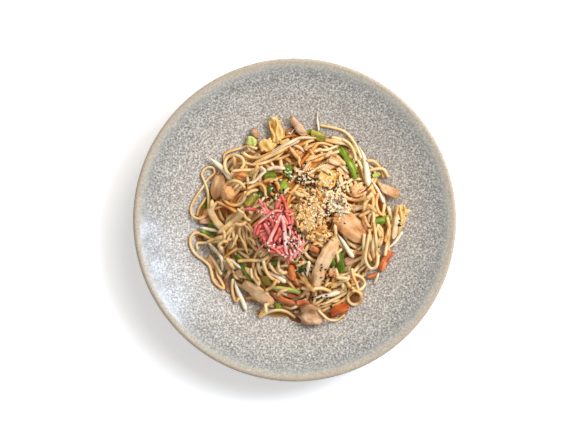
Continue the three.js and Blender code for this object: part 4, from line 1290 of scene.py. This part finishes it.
ONION_BANDS = [
    ([(-66, 14), (-70.5, 8.5), (-67.7, 1.3), (-63.6, -4.2), (-57, -9.3), (-50, -12)], 3.0),
    ([(-42, 8.5), (-45.5, 3.5), (-50.5, -1), (-56.3, -5.9), (-64, -11)], 2.8),
    ([(-41.5, -40), (-36, -45), (-31.5, -50.5), (-29.5, -55)], 2.4),
    ([(86.5, 4.5), (85.5, -5), (83, -16)], 2.6), ([(4.5, -47), (10.5, -53.5), (16.5, -60)], 1.7),
    ([(21, 43), (26, 41.5), (31, 37)], 1.8), ([(20, 37), (24, 31.5), (28, 27.5)], 1.6),
]
ONION_THREADS = [
    ([(-47, 0), (-51, -7), (-51, -14), (-49, -22)], 1.3),
    ([(-46, 0), (-46.5, -8), (-49, -16), (-53, -24)], 1.2),
    ([(-45, 0), (-43.5, -7), (-42, -15), (-40.5, -23)], 1.3),
    ([(-44, -1), (-40, -7), (-39.5, -15), (-33, -25)], 1.2),
    ([(-42, -4), (-37, -9), (-35, -16), (-34, -24)], 1.1),
    ([(-48, -2), (-54, -8), (-58, -14), (-62, -18)], 1.2),
    ([(-49, -4), (-53.5, -10), (-56, -17), (-58, -23)], 1.2),
    ([(-4, 62), (-15, 56), (-26, 51), (-36, 46)], 1.5), ([(-8, 58), (-18, 51), (-28, 47), (-38, 46)], 1.3),
    ([(-4, 61), (0, 55), (5, 49)], 1.6), ([(-41, 20), (-36, 24), (-30, 25)], 1.5),
    ([(91, 3), (89, -5), (87, -12)], 1.5), ([(-40, -2), (-35.5, -8), (-32, -14)], 1.1),
    ([(-45, -3), (-46, -12), (-42, -20), (-39, -29)], 1.0), ([(-52, -6), (-56, -11), (-61, -14)], 1.3),
]
PALE_LIGHT = [0.32] + [0.5] * (len(PALE_THREADS) - 1)  # the first is caramelised
BAND_LIGHT = [0.68, 0.66, 0.6, 0.85, 0.35, 0.8, 0.75]
SLIVERS = 80
SLIVER_EDGE = 4  # how far inside the heap's edge the slivers start, in millimetres
SLIVER_CLEAR = 15  # how far from the middle of the first ring they stay, in millimetres


def threads(name, rows, material, slot, lights, flat=1.0):
    """Strands laid on top of everything, each with its own width and lightness and tapered ends."""
    made = []
    for (route, radius), light in zip(rows, lights):
        strand = lay(even_points(route), radius, top_of_all, sink=0.3)
        stamp(strand, radius * flat, top_of_all)
        share = np.linspace(-1, 1, len(strand))
        taper = np.clip(1.1 - np.abs(share) ** 5, 0.3, 1)
        made.append((strand, radius * taper, light + 0.12 * np.sin(9 * share)))
    # back paints the top of each thread lighter: painted light.
    return hand_over(tubes(name, made, 10, flat, back=0.3), material, slot)


def is_bare(spot, route):
    """Whether a sliver lies on the heap, outside the first ring and off the toppings."""
    in_ring = math.dist(spot, RINGS[0][0]) < SLIVER_CLEAR
    if in_ring or math.hypot(*spot) >= HEAP_RADIUS - SLIVER_EDGE:
        return False
    return np.isnan(over_toppings[cell_of(even_points(route))]).all()


def sliver_routes():
    """Short bowed routes at bare places, each with half its width in millimetres."""
    routes = []
    while len(routes) < SLIVERS:
        spot, heading = random_start()
        bend = rng.normal(0, 0.05)
        steps = np.linspace(-0.5, 0.5, 4) * rng.uniform(6, 12)
        turn = heading + bend * steps
        route = np.array(spot) + np.stack([np.cos(turn), np.sin(turn)], -1) * steps[:, None]
        if is_bare(spot, route):
            routes.append((route, rng.uniform(1.0, 1.8)))
    return routes


threads("bean_sprout_threads", PALE_THREADS, stalk, "sprout", PALE_LIGHT)
threads("onion_bands", ONION_BANDS, soft_onion, "onion", BAND_LIGHT, flat=0.3)
threads("onion_threads", ONION_THREADS, soft_onion, "onion", [0.6] * len(ONION_THREADS), flat=0.6)
threads("onion_slivers", sliver_routes(), soft_onion, "onion", rng.uniform(0.5, 0.8, SLIVERS), flat=0.6)
print("threads:", len(PALE_THREADS) + len(ONION_BANDS) + len(ONION_THREADS), "slivers:", SLIVERS)

# %% [markdown]
# Only now are the noodles made into pieces, for the tone of a strand depends on how deep it lies under all
# the others. Buried strands are painted browner, as painted shade, and each has streaks where the sauce has
# run. One material with one colour would make the heap a single mass to the eye. The patches make whole
# areas lighter or browner.

# %% The noodles' pieces
# Places where the strands are made lighter or browner: x, y, reach and change of tone.
PATCHES = [
    (40, 76, 14, 0.2), (72, 42, 12, 0.15), (62, -28, 22, 0.42), (48, 38, 18, 0.5), (41, 66, 11, 0.3),
    (16, -34, 20, 0.36), (-50, 36, 14, 0.36), (20, 27, 12, 0.3), (-3, 60, 19, -0.5), (-6, 30, 12, -0.5),
    (-14, -79, 14, 0.25), (5, 71, 10, -0.35), (9, -42, 9, 0.25), (49, 13, 9, 0.25), (-35, -28, 10, 0.15),
    (77, -14, 8, -0.3), (-64, -42, 9, 0.3), (-57.5, 8, 5, -0.6),
]
# A strand this deep under the top is painted fully brown: painted shade.
BURIED = 5  # how deep under the top a strand is fully brown, in millimetres


def patch_tone(strand):
    """How much lighter or browner a strand is at each point for where it lies."""
    return sum(change * np.exp(-((strand[:, 0] - x) ** 2 + (strand[:, 1] - y) ** 2) / reach**2)
               for x, y, reach, change in PATCHES)


def noodle_strands(chosen):
    """Points, radii and tones of strands, painted browner the deeper a strand is covered, as painted shade.
    """
    made = []
    for strand, radius, shade in chosen:
        cover = top_of_all[cell_of(strand)] - (strand[:, 2] + radius)
        # How deeply each point is covered, which paints it browner: painted shade.
        beneath = np.clip(cover / BURIED, 0, 1)
        streak = np.array([noise.noise(Vector(point) / 14) for point in strand])
        tone = 0.8 + 1.3 * shade + 0.35 * streak - 0.1 * blur(beneath, 2) + patch_tone(strand)
        uneven = np.array([noise.noise(Vector(point) / 6 + Vector((9, 0, 0))) for point in strand])
        made.append((strand, radius * (1 + 0.05 * uneven), np.clip(tone, 0.05, 1)))
    return made


GROUP = 150  # strands in one piece, to keep each piece's mesh small
for number, begin in enumerate(range(0, len(laid), GROUP)):
    # back paints the top of each noodle lighter: painted light.
    piece = tubes(f"noodles_{number + 1}", noodle_strands(laid[begin:begin + GROUP]), 8, back=0.4)
    hand_over(piece, noodle_finish, "noodle")
    print(piece.name, "faces:", len(piece.data.polygons))

# %% [markdown]
# Ginger is pickled pink and cut in fine shreds, which are dropped in a loose tangle on top. Loose threads
# could be dropped by a simulation, but the shreds that show their whole length make the tangle, so their
# routes are listed, from the bottom up, each with its width and tone. The others fan out below them, painted
# darker as painted shade, over a low core that fills the middle, painted deep pink as the shade between the
# shreds. No shred may stand above the height that the dish has, so each layer has a ceiling, and the last
# strips lie highest.

# %% Ginger: its finish and strips
# Pickled ginger: rose to pale pink, wet, bright at its thin edges.
ginger_finish = food("pink_pickled_ginger", [
    (0.0, "#9c2420"), (0.25, "#d0433e"), (0.5, "#ea6d60"), (0.75, "#f4998a"), (1.0, "#fccdc2"),
], grain=2.5, relief=0.05, roughness=0.25, soak=0.25, coat=0.5, variation=0.2)
GINGER_MIDDLE = np.array([-15.0, -8.0])
GINGER_HALF = (14, 13)  # half the size of its core in x and y, in millimetres
GINGER_RISE = 2.2  # the core's thickness, in millimetres
MOUND_EDGE = 0.4  # how high over the heap the shreds begin at the core's edge, in millimetres
MOUND_RISE = 1.4  # and how much higher in its middle
GINGER_FAN = np.array([-12.0, 7.0])  # where the fanned shreds come from
GINGER_SHREDS = 60
SHRED_AREA = np.array([13, 14])  # half the size in x and y of the patch that they lie on, in millimetres
GINGER_RADIUS = 1.15  # half the mean width of a buried shred, in millimetres
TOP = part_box("ginger")[1][2] / MM - 0.1  # no garnish may stand higher, in millimetres
SHRED_ROOF = 5.0  # how far below that the buried shreds stay
STRIP_ROOF = 2.2  # how far below it the strips under the last ones stay
LAST_STRIPS = 4
# Each strip: its route, half its width in millimetres, and how light it is, from the bottom of the tangle up.
GINGER_STRIPS = [
    ([(-25, -3), (-22, -9), (-20, -13)], 1.6, 0.6), ([(-21, 2), (-18, -3), (-17, -8)], 1.9, 0.26),
    ([(-16, 3), (-15, -2), (-17, -8)], 1.7, 0.3), ([(-28, -4), (-30, -8), (-31.5, -13)], 1.3, 0.35),
    ([(-26, -14), (-24.5, -18), (-23, -22)], 1.5, 0.4), ([(-12, -6), (-14, -12), (-17, -18)], 1.5, 0.4),
    ([(-10, -8), (-12, -13), (-12.5, -19)], 1.3, 0.5), ([(-7, -4), (-9, -10), (-10.5, -16)], 1.2, 0.3),
    ([(1, -9), (0, -14), (-2, -19)], 1.3, 0.5), ([(3, -14), (4, -19), (1, -24)], 1.4, 0.6),
    ([(2.5, -17), (0, -19), (-3, -20)], 1.2, 0.3), ([(-6, -14), (-3.5, -19), (-1, -24)], 1.4, 0.6),
    ([(-2, -9), (-1.5, -13), (3, -17), (5, -20)], 1.2, 0.55), ([(-2, -22), (0, -26), (-2, -30)], 1.3, 0.7),
    ([(-12.5, -28.5), (-9, -29.5), (-4, -29)], 1.4, 0.45),
    ([(7.5, -15), (6.5, -21), (2.5, -26.5), (-3, -30)], 1.4, 0.7),
    ([(-22.5, -25.5), (-17, -26.3), (-11, -25), (-9, -20)], 1.7, 0.3),
    ([(-21, -21), (-15, -23), (-10, -22)], 1.3, 0.55),
    ([(-10.5, 21.5), (-12, 17), (-14.5, 12), (-16, 8)], 1.7, 0.4),
    ([(-10.8, 20.5), (-8.5, 15), (-6.5, 9.5), (-5, 4)], 1.4, 0.38),
    ([(-7.5, -24), (-5.6, -30), (-5.2, -37)], 1.5, 0.5),
    ([(-25.7, -20.5), (-29, -23.5), (-32, -26.5)], 0.9, 0.6),
    ([(-29.5, 17.3), (-27.5, 13), (-25.5, 9), (-23.5, 5)], 1.4, 0.66),
    ([(-25.5, 14.5), (-24, 10), (-21, 6)], 1.2, 0.5),
    ([(-42, 9), (-36, 9.2), (-30, 7.3), (-24, 5.8), (-19, 7)], 1.4, 0.42),
    ([(-8.5, 7), (-4, 6.8), (-2, 5), (-2, -5)], 1.7, 0.42),
    ([(-7, 6.5), (-5, 1), (-3.8, -5), (-2.5, -9)], 1.6, 0.4),
    ([(-9.5, 4), (-6.3, -3), (-4, -9), (-4.3, -15)], 1.2, 0.66),
    ([(-30, -2), (-32.3, -6), (-33, -10), (-33.5, -15)], 1.3, 0.42),
    ([(-24, -5), (-21, -11), (-19, -15), (-21, -19)], 1.2, 0.45),
    ([(-9, -12), (-8.5, -20), (-11, -26)], 1.2, 0.45), ([(-20, -22), (-15, -25), (-11, -29)], 1.3, 0.5),
    ([(-12, -24), (-9, -28), (-7, -33)], 1.4, 0.45), ([(-4, -24), (-3, -29), (-4, -35)], 1.3, 0.6),
    ([(2, -22), (1, -27), (-1, -32)], 1.4, 0.62), ([(7, -20), (5, -25), (3, -31)], 1.3, 0.52),
    ([(-1, -20), (3, -24), (7, -27)], 1.1, 0.7),
    ([(-10.7, 7.2), (-15, 7.6), (-19.5, 5.8), (-23, 2.8), (-27, -0.4), (-31, -4)], 1.2, 0.68),
    ([(-11.8, 4), (-13.7, -1.7), (-16.5, -8), (-19, -13), (-21.3, -18), (-23, -21.5)], 1.6, 0.68),
    ([(-11.2, 4), (-9.3, -1.7), (-8.4, -8), (-8, -14), (-7.6, -20), (-7.2, -26), (-6, -28.5)], 1.7, 0.82),
]
print("ginger strips:", len(GINGER_STRIPS), "top at", round(TOP, 1), "mm")

# %% [markdown]
# The garnish rests on a map of its own, which starts as the top of all that lies below it. The core is a
# low rounded block that follows the heap, and its mound is added to the map. Every shred that is laid
# raises the map under the next one, and a shred is only partly as high as it is wide, because it is cut
# flat.

# %% Ginger: the tangle
def core_piece(name):
    """A low rounded core under the ginger."""
    piece, unit = block(name, 24, 2.2)
    local = unit * (*GINGER_HALF, GINGER_RISE / 2)
    lumps = rough(local, 4, 5)
    x = GINGER_MIDDLE[0] + local[:, 0] * (1 + 0.12 * lumps)
    y = GINGER_MIDDLE[1] + local[:, 1] * (1 + 0.12 * lumps)
    z = heap_height(x, y) + GINGER_RISE / 2 + local[:, 2] + 0.5 * lumps
    move_points(piece, np.column_stack([x, y, np.minimum(z, TOP - 1.2)]))
    # The core is painted deep pink, darker than the shreds over it: painted shade between them.
    give_tone(piece, 0.12 + 0.1 * lumps)
    return piece


garnish = np.fmax(level, top_of_all)
far_x = (grid_x - GINGER_MIDDLE[0]) / GINGER_HALF[0]
far_y = (grid_y - GINGER_MIDDLE[1]) / GINGER_HALF[1]
mound = 1 - far_x**2 - far_y**2
mound_top = heap_map + MOUND_EDGE + MOUND_RISE * np.clip(mound, 0, 1) ** 0.6
garnish = np.maximum(garnish, np.where(mound > 0, mound_top, 0))
hand_over(core_piece("ginger_core"), ginger_finish, "ginger", "ginger")
shreds = []


def add_shred(path, radius, light, below_top, sink=0.35):
    """Lays a flat, tapered shred on the garnish, at least below_top millimetres under its top."""
    strand = lay(path, radius, garnish, bridge=2, sink=sink)
    strand[:, 2] = np.minimum(strand[:, 2], TOP - below_top - 0.7 * radius)
    stamp(strand, radius * 0.7, garnish)
    taper = np.clip(1.15 - np.abs(np.linspace(-1, 1, len(strand))) ** 5, 0.35, 1)
    streak = 0.12 * np.sin(np.linspace(0, 9, len(strand)) + 3 * light)
    shreds.append((strand, radius * taper, light + streak))


for number in range(GINGER_SHREDS):
    turn = rng.uniform(0, 2 * math.pi)
    spot = GINGER_MIDDLE + math.sqrt(rng.uniform(0, 1)) * (SHRED_AREA * (math.cos(turn), math.sin(turn)))
    away = spot - GINGER_FAN
    heading = math.atan2(away[1], away[0]) + rng.normal(0, 0.35)
    length = rng.uniform(8, 16)
    steps = np.linspace(-length / 2, length / 2, 5)
    bent = heading + rng.normal(0, 0.02) * steps
    path = even_points(spot + np.stack([np.cos(bent), np.sin(bent)], -1) * steps[:, None])
    # The buried shreds are painted darker than the strips on top: painted shade.
    light = float(np.clip(rng.normal(0.32, 0.14), 0.1, 0.8))
    add_shred(path, GINGER_RADIUS * rng.uniform(0.8, 1.25), light, SHRED_ROOF, sink=0.6)
for number, (route, radius, light) in enumerate(GINGER_STRIPS):
    is_last = number >= len(GINGER_STRIPS) - LAST_STRIPS
    add_shred(even_points(route), radius, light, 0 if is_last else STRIP_ROOF)
# back paints the top of each shred lighter: painted light.
hand_over(tubes("ginger_shreds", shreds, 8, flat=0.6, back=0.35), ginger_finish, "ginger")
print("ginger shreds:", len(shreds))

# %% [markdown]
# Crisp fried onion is a scatter of small, bent, golden flakes. Instances of one flake would be lighter to
# keep, but they would look alike close up, and the part is handed on as plain meshes. So every flake is a
# small ball of its own, flattened, bent and torn by noise and dropped on what lies under it, and all of
# them are one mesh.

# %% Crisp fried onion
# Crisp onion: golden to brown, dry and rough, so it breaks the gloss round it.
crisp = food("crisp_fried_onion", [
    (0.0, "#70380f"), (0.2, "#bd6f29"), (0.42, "#e6a758"), (0.68, "#f5ca86"), (1.0, "#fdeac6"),
], grain=1.5, relief=0.15, roughness=0.5, soak=0.15, coat=0.2, variation=0.3)
FLAKES = 460
FLAKE_MIDDLE = np.array([14.0, 3.0])
FLAKE_SPREAD = (11.0, 7.6)  # along and across the heading, in millimetres
FLAKE_TURN = math.radians(70)
TRAIL_MIDDLE = np.array([24.0, -12.0])  # of the flakes that have slid off
TRAIL_SPREAD = 4.5
TRAIL = FLAKES // 8
FLAKE_REACH = 3  # cells of the map on each side that a flake covers


def unit_ball(divisions):
    """The points and faces of a ball of radius 1."""
    deselect()
    bpy.ops.mesh.primitive_ico_sphere_add(subdivisions=divisions, radius=MM)
    ball = bpy.context.object
    found = points_of(ball), [tuple(polygon.vertices) for polygon in ball.data.polygons]
    bpy.data.objects.remove(ball)
    return found


def turned(points, roll, pitch, heading):
    """Points rolled, pitched and turned, in radians."""
    cos, sin = math.cos(roll), math.sin(roll)
    about_x = np.array([[1, 0, 0], [0, cos, -sin], [0, sin, cos]])
    cos, sin = math.cos(pitch), math.sin(pitch)
    about_y = np.array([[cos, 0, sin], [0, 1, 0], [-sin, 0, cos]])
    cos, sin = math.cos(heading), math.sin(heading)
    about_z = np.array([[cos, -sin, 0], [sin, cos, 0], [0, 0, 1]])
    return points @ (about_z @ about_y @ about_x).T


def scatter(name, spots, make, template_faces):
    """One mesh of many small bits. make gives the points and tone of the bit at a spot."""
    points = []
    faces = []
    tones = []
    for number, spot in enumerate(spots):
        bit, tone = make(number, spot)
        start = len(points) * len(bit)
        points.append(bit)
        tones.append(tone)
        faces += [tuple(start + i for i in face) for face in template_faces]
    piece = new_piece(name, np.vstack(points), faces)
    give_tone(piece, np.concatenate(tones))
    return piece


ball_points, ball_faces = unit_ball(2)


def flake(number, spot):
    """A flake that rests on the garnish: its points and tone. The next one may rest on it."""
    # Most are small, and the square makes a few of them long.
    half = np.array([1.2 + 3 * rng.uniform(0, 1) ** 2, rng.uniform(0.7, 1.6), rng.uniform(0.4, 0.8)])
    local = ball_points * half
    lumps = rough(local, 1.3, number)
    local = local * (1 + 0.35 * lumps)[:, None]
    local[:, 2] += rng.normal(0, 0.12) * local[:, 0] ** 2
    local = turned(local, rng.normal(0, 0.5), rng.normal(0, 0.35), rng.uniform(0, math.pi))
    cell = cell_of(spot[None])
    height = float(garnish[cell][0]) + 0.35
    local[:, :2] += spot
    local[:, 2] = np.minimum(local[:, 2] + height, TOP)
    i, j = cell[0][0], cell[1][0]
    patch = garnish[i - FLAKE_REACH:i + FLAKE_REACH + 1, j - FLAKE_REACH:j + FLAKE_REACH + 1]
    np.maximum(patch, min(height + 0.3, TOP - 1.5), out=patch)
    return local, np.clip(rng.normal(0.52, 0.16) + 0.4 * lumps, 0, 1)


spread = rng.normal(0, 1, (FLAKES, 2)) * FLAKE_SPREAD
cos, sin = math.cos(FLAKE_TURN), math.sin(FLAKE_TURN)
spots = FLAKE_MIDDLE + spread @ np.array([[cos, sin], [-sin, cos]])
spots = np.vstack([spots, TRAIL_MIDDLE + rng.normal(0, TRAIL_SPREAD, (TRAIL, 2))])
# The flakes stop at a slanted line where the ginger begins.
beside_ginger = spots[:, 0] > 0.6 * np.clip(8 - spots[:, 1], 0, None) - 4
flakes = scatter("crisp_onion_flakes", spots[beside_ginger], flake, ball_faces)
hand_over(flakes, crisp, "fried_onion", "fried_onion")
print("flakes:", int(beside_ginger.sum()))

# %% [markdown]
# Sesame is scattered last, black and white. An even scatter would look like a pattern, and seeds fall in
# drifts as they leave the fingers, so each drift has a middle, a spread and a count. Each seed is a small
# drop shape that lies flat on the surface that a ray finds below its place.

# %% Sesame
# Black seeds: nearly black with a soft shine. White seeds: ivory and smooth.
black = food("black_sesame", [(0.0, "#0c0a09"), (0.5, "#1d1815"), (1.0, "#4a4038")], grain=1.5, relief=0.03,
             roughness=0.4, soak=0.0, coat=0.3, variation=0.3)
white = food("white_sesame", [(0.0, "#d9c094"), (0.5, "#f3e6c9"), (1.0, "#fffaf0")], grain=1.5, relief=0.03,
             roughness=0.4, soak=0.2, coat=0.3, variation=0.25)
SEED_HALF = (1.25, 0.72, 0.42)  # millimetres
SEED_SIZES = (0.85, 1.1)  # the smallest and the largest, as shares of that
SEED_START = 0.08  # height from which seeds fall, in metres
UP = Vector((0, 0, 1))
# Each drift: the middle x and y, the spread in x and y, and the number of seeds.
BLACK_DRIFTS = [
    (20, -66, 4, 2, 7), (88, -4, 1.5, 2, 4), (7.5, 34, 3.2, 2.4, 34), (9, 30, 4.5, 4, 16),
    (28.5, 5, 3, 3, 10), (12, 23, 2.5, 4, 10), (33, 20, 7, 9, 34), (2, -22, 6, 9, 26), (6, -41, 3.5, 4, 12),
    (25, -46, 3, 7, 14), (-3, 38, 4, 3, 8), (-18, 20, 8, 5, 12), (14, -6, 8, 6, 10), (54, 66, 0.5, 0.5, 1),
    (31, -73, 0.6, 0.6, 2), (23, -65, 0.6, 0.6, 1), (-2, -13, 3, 4, 12), (-13, -18, 4, 4, 4),
]
WHITE_DRIFTS = [
    (-3, 76, 2.5, 1.5, 6), (8, 37, 4.5, 3.5, 34), (-3, -28, 5, 3, 12), (1, -15, 6, 5, 44),
    (-19, -20, 4, 3, 10), (-14, -2, 6, 5, 4), (-5, 38, 3, 3, 14), (12, 21, 4, 4, 10),
    (33, 13, 6.5, 5.5, 95), (18, 2, 8, 9, 28), (22, 28, 5, 4, 16), (-25, 10, 8, 8, 14), (30, 30, 8, 6, 12),
    (-18, 24, 5, 4, 10),
]

# A flat drop: one end of a ball drawn to a blunt point.
drop = ball_points.copy()
drop[:, 1:] *= 1 - 0.42 * drop[:, :1].clip(0) ** 1.5
drop *= SEED_HALF
bpy.context.view_layer.update()
depsgraph = bpy.context.evaluated_depsgraph_get()


def seed(number, spot):
    """A seed laid on what a ray finds below its place: its points and tone."""
    origin = Vector((spot[0] * MM, spot[1] * MM, SEED_START))
    _, place, normal, *_ = bpy.context.scene.ray_cast(depsgraph, origin, -UP)
    # It follows the slope of what it lies on only in part.
    tilt = UP.rotation_difference(normal.lerp(UP, 0.4))
    sized = drop * rng.uniform(*SEED_SIZES)
    roll, pitch = rng.normal(0, 0.3), rng.normal(0, 0.2)
    spun = turned(sized, roll, pitch, rng.uniform(0, 2 * math.pi))
    laid_flat = spun @ np.array(tilt.to_matrix()).T
    laid_flat += np.array(place) / MM + 0.25 * np.array(normal)
    laid_flat[:, 2] = np.minimum(laid_flat[:, 2], TOP)
    return laid_flat, np.full(len(drop), np.clip(rng.normal(0.5, 0.2), 0, 1))


def drift_spots(drifts):
    """The places of all seeds of some drifts."""
    return np.vstack([rng.normal((x, y), (wide, deep), (count, 2)) for x, y, wide, deep, count in drifts])


black_spots = drift_spots(BLACK_DRIFTS)
white_spots = drift_spots(WHITE_DRIFTS)
hand_over(scatter("black_sesame_seeds", black_spots, seed, ball_faces), black, "fried_onion")
hand_over(scatter("white_sesame_seeds", white_spots, seed, ball_faces), white, "fried_onion")
print("seeds:", len(black_spots) + len(white_spots))

# %% [markdown]
# A little of the frying sauce runs out under the heap and lies on the glaze as a thin brown film, and a few
# films beside the left-hand loops also stand for their shade on the glaze, as painted shade. A stain in the
# glaze's material would have no edge that catches the light. So each film is a flat lens that follows the
# bowl, closed below, and half clear, so that the speckle shows through.

# %% Sauce on the glaze
def thin_sauce():
    """Thin brown sauce: half clear, very smooth, and browner where it is deep."""
    material, tree, shader = start_material("thin_brown_sauce")
    place = add(tree, "TexCoord", {})
    swirl = add(tree, "TexNoise", {"Scale": 160, "Detail": 3}, {"Vector": place.outputs["Object"]})
    depth = add(tree, "Attribute", {"attribute_name": "tone"})
    parts = {0: swirl.outputs["Fac"], 2: depth.outputs["Fac"]}
    total = add(tree, "Math", {"operation": "MULTIPLY_ADD", 1: 0.4}, parts)
    browns = add(tree, "ValToRGB", {"stops": [(0.2, "#d9a258"), (0.6, "#b3702c"), (1.0, "#7c3f12")]},
                 {"Fac": total.outputs["Value"]})
    tree.links.new(browns.outputs["Color"], shader.inputs["Base Color"])
    shader.inputs["Roughness"].default_value = 0.12
    shader.inputs["IOR"].default_value = 1.38
    shader.inputs["Alpha"].default_value = 0.5
    return material


# Each film: the middle x and y, the heading in degrees, the length and width in millimetres, and how deep a
# brown it is. Those at (-80, -17), (-66, -44), (-78, 6) and (-56, -59) are partly sauce and partly painted
# shade beside the loops.
FILMS = [
    (-12.5, -79.6, 0, 21, 5.5, 0.0), (50.4, -65.4, 0, 10, 10, 0.45), (-56, -59, -50, 11, 5, 0.2),
    (28, -81, 5, 16, 6, 0.4), (1, -84, -20, 12, 5, 0.5), (-29.5, -77.5, 60, 7, 4, 0.15),
    (-80, -17, -50, 9, 6, 0.35), (-66, -44, -60, 20, 8, 0.15), (-78, 6, 65, 18, 7, 0.2),
    (-58, 50, 40, 10, 5, 0.6),
]
FILM_LIFT = 0.05  # how far its edge lies over the glaze, in millimetres
FILM_THICK = 0.4


def film(number, row):
    """A film of sauce on the bowl: its points and tone."""
    x, y, degrees, length, width, depth = row
    local = ball_fine * (length / 2, width / 2, 1)
    local[:, :2] *= (1 + 0.3 * rough(ball_fine * (1, 1, 0), 0.6, number))[:, None]
    cos, sin = math.cos(math.radians(degrees)), math.sin(math.radians(degrees))
    spread_x = x + cos * local[:, 0] - sin * local[:, 1]
    spread_y = y + sin * local[:, 0] + cos * local[:, 1]
    height = bowl_height(spread_x, spread_y) + FILM_LIFT + FILM_THICK * np.clip(ball_fine[:, 2], 0, 1)
    return np.column_stack([spread_x, spread_y, height]), np.full(len(local), depth)


ball_fine, fine_faces = unit_ball(5)
hand_over(scatter("sauce_and_shade_films", FILMS, film, fine_faces), thin_sauce(), "noodle")
print("films of sauce:", len(FILMS))

# %% [markdown]
# The dish is lit like food on a white table. One large, warm light on the right and behind gives every
# strand a bright side and the bowl a soft shadow, and a small cool one at the side sharpens that shadow.
# Neither is mirrored in glossy faces. What the glaze mirrors is one long, narrow strip, which gives its
# wall a bluish sheen. One large mirrored light would be simpler, but it would whiten every wet strand. An
# even pale room fills the rest.

# %% Light
# Each light: its direction in degrees from +X towards +Y and up from the table, its power in watts, its width
# and height in metres, its colour, and if glossy faces show it.
LIGHTS = {
    "key": (50, 47, 11.4, (0.9, 0.9), "#fff8ee", False),
    "side": (20, 41.5, 5.6, (0.26, 0.26), "#e6f0ff", False),
    "strip": (22, 51, 4.0, (0.6, 0.15), "#d4e4ff", True),
}
LIGHT_FAR = 1.25  # metres
FILL = 0.42

world = bpy.data.worlds.new("pale_room")
bpy.context.scene.world = world
world.use_nodes = True
world.node_tree.nodes["Background"].inputs["Color"].default_value = (1, 1, 1, 1)
world.node_tree.nodes["Background"].inputs["Strength"].default_value = FILL


def softbox(degrees, rise_degrees, power, size, tint, mirrored):
    """A soft light that faces the dish. mirrored says if glossy faces show it."""
    turn = math.radians(degrees)
    rise = math.radians(rise_degrees)
    across = math.cos(rise)
    place = LIGHT_FAR * Vector((math.cos(turn) * across, math.sin(turn) * across, math.sin(rise)))
    facing = (-place).to_track_quat("-Z", "Y").to_euler()
    bpy.ops.object.light_add(type="AREA", location=place, rotation=facing)
    light = bpy.context.object
    light.data.energy = power
    light.data.shape = "RECTANGLE"
    light.data.size = size[0]
    light.data.size_y = size[1]
    light.data.color = colour(tint)[:3]
    light.visible_glossy = mirrored


deselect()
for facts in LIGHTS.values():
    softbox(*facts)
print("lights:", ", ".join(LIGHTS))

# %% [markdown]
# The table is a white sheet that glows a little, so that it stays nearly white round the shadow. The camera
# looks straight down with a long lens. A short one nearer by would show the bowl's wall leaning outwards.

# %% Table and camera
TABLE_GLOW = 0.3
LENS = 95.8  # millimetres
CAMERA_PLACE = (-0.0014, -0.0001, 1.336)  # metres, a little beside the dish's middle

bpy.ops.mesh.primitive_plane_add(size=6, location=(0, 0, 0))
floor = bpy.context.object
floor.name = "floor"
# Lit white table: matt and evenly bright, so that it shows nothing but the shadow.
paper, tree, shader = start_material("lit_white_table")
shader.inputs["Base Color"].default_value = (0.93, 0.93, 0.93, 1)
shader.inputs["Roughness"].default_value = 0.9
shader.inputs["Emission Color"].default_value = (1, 1, 1, 1)
shader.inputs["Emission Strength"].default_value = TABLE_GLOW
floor.data.materials.append(paper)

bpy.ops.object.camera_add(location=CAMERA_PLACE, rotation=(0, 0, 0))
camera = bpy.context.object
camera.data.lens = LENS
bpy.context.scene.camera = camera
bpy.context.scene.view_settings.view_transform = "Standard"
print("camera", CAMERA_PLACE[2], "m above the table, lens", LENS, "mm")
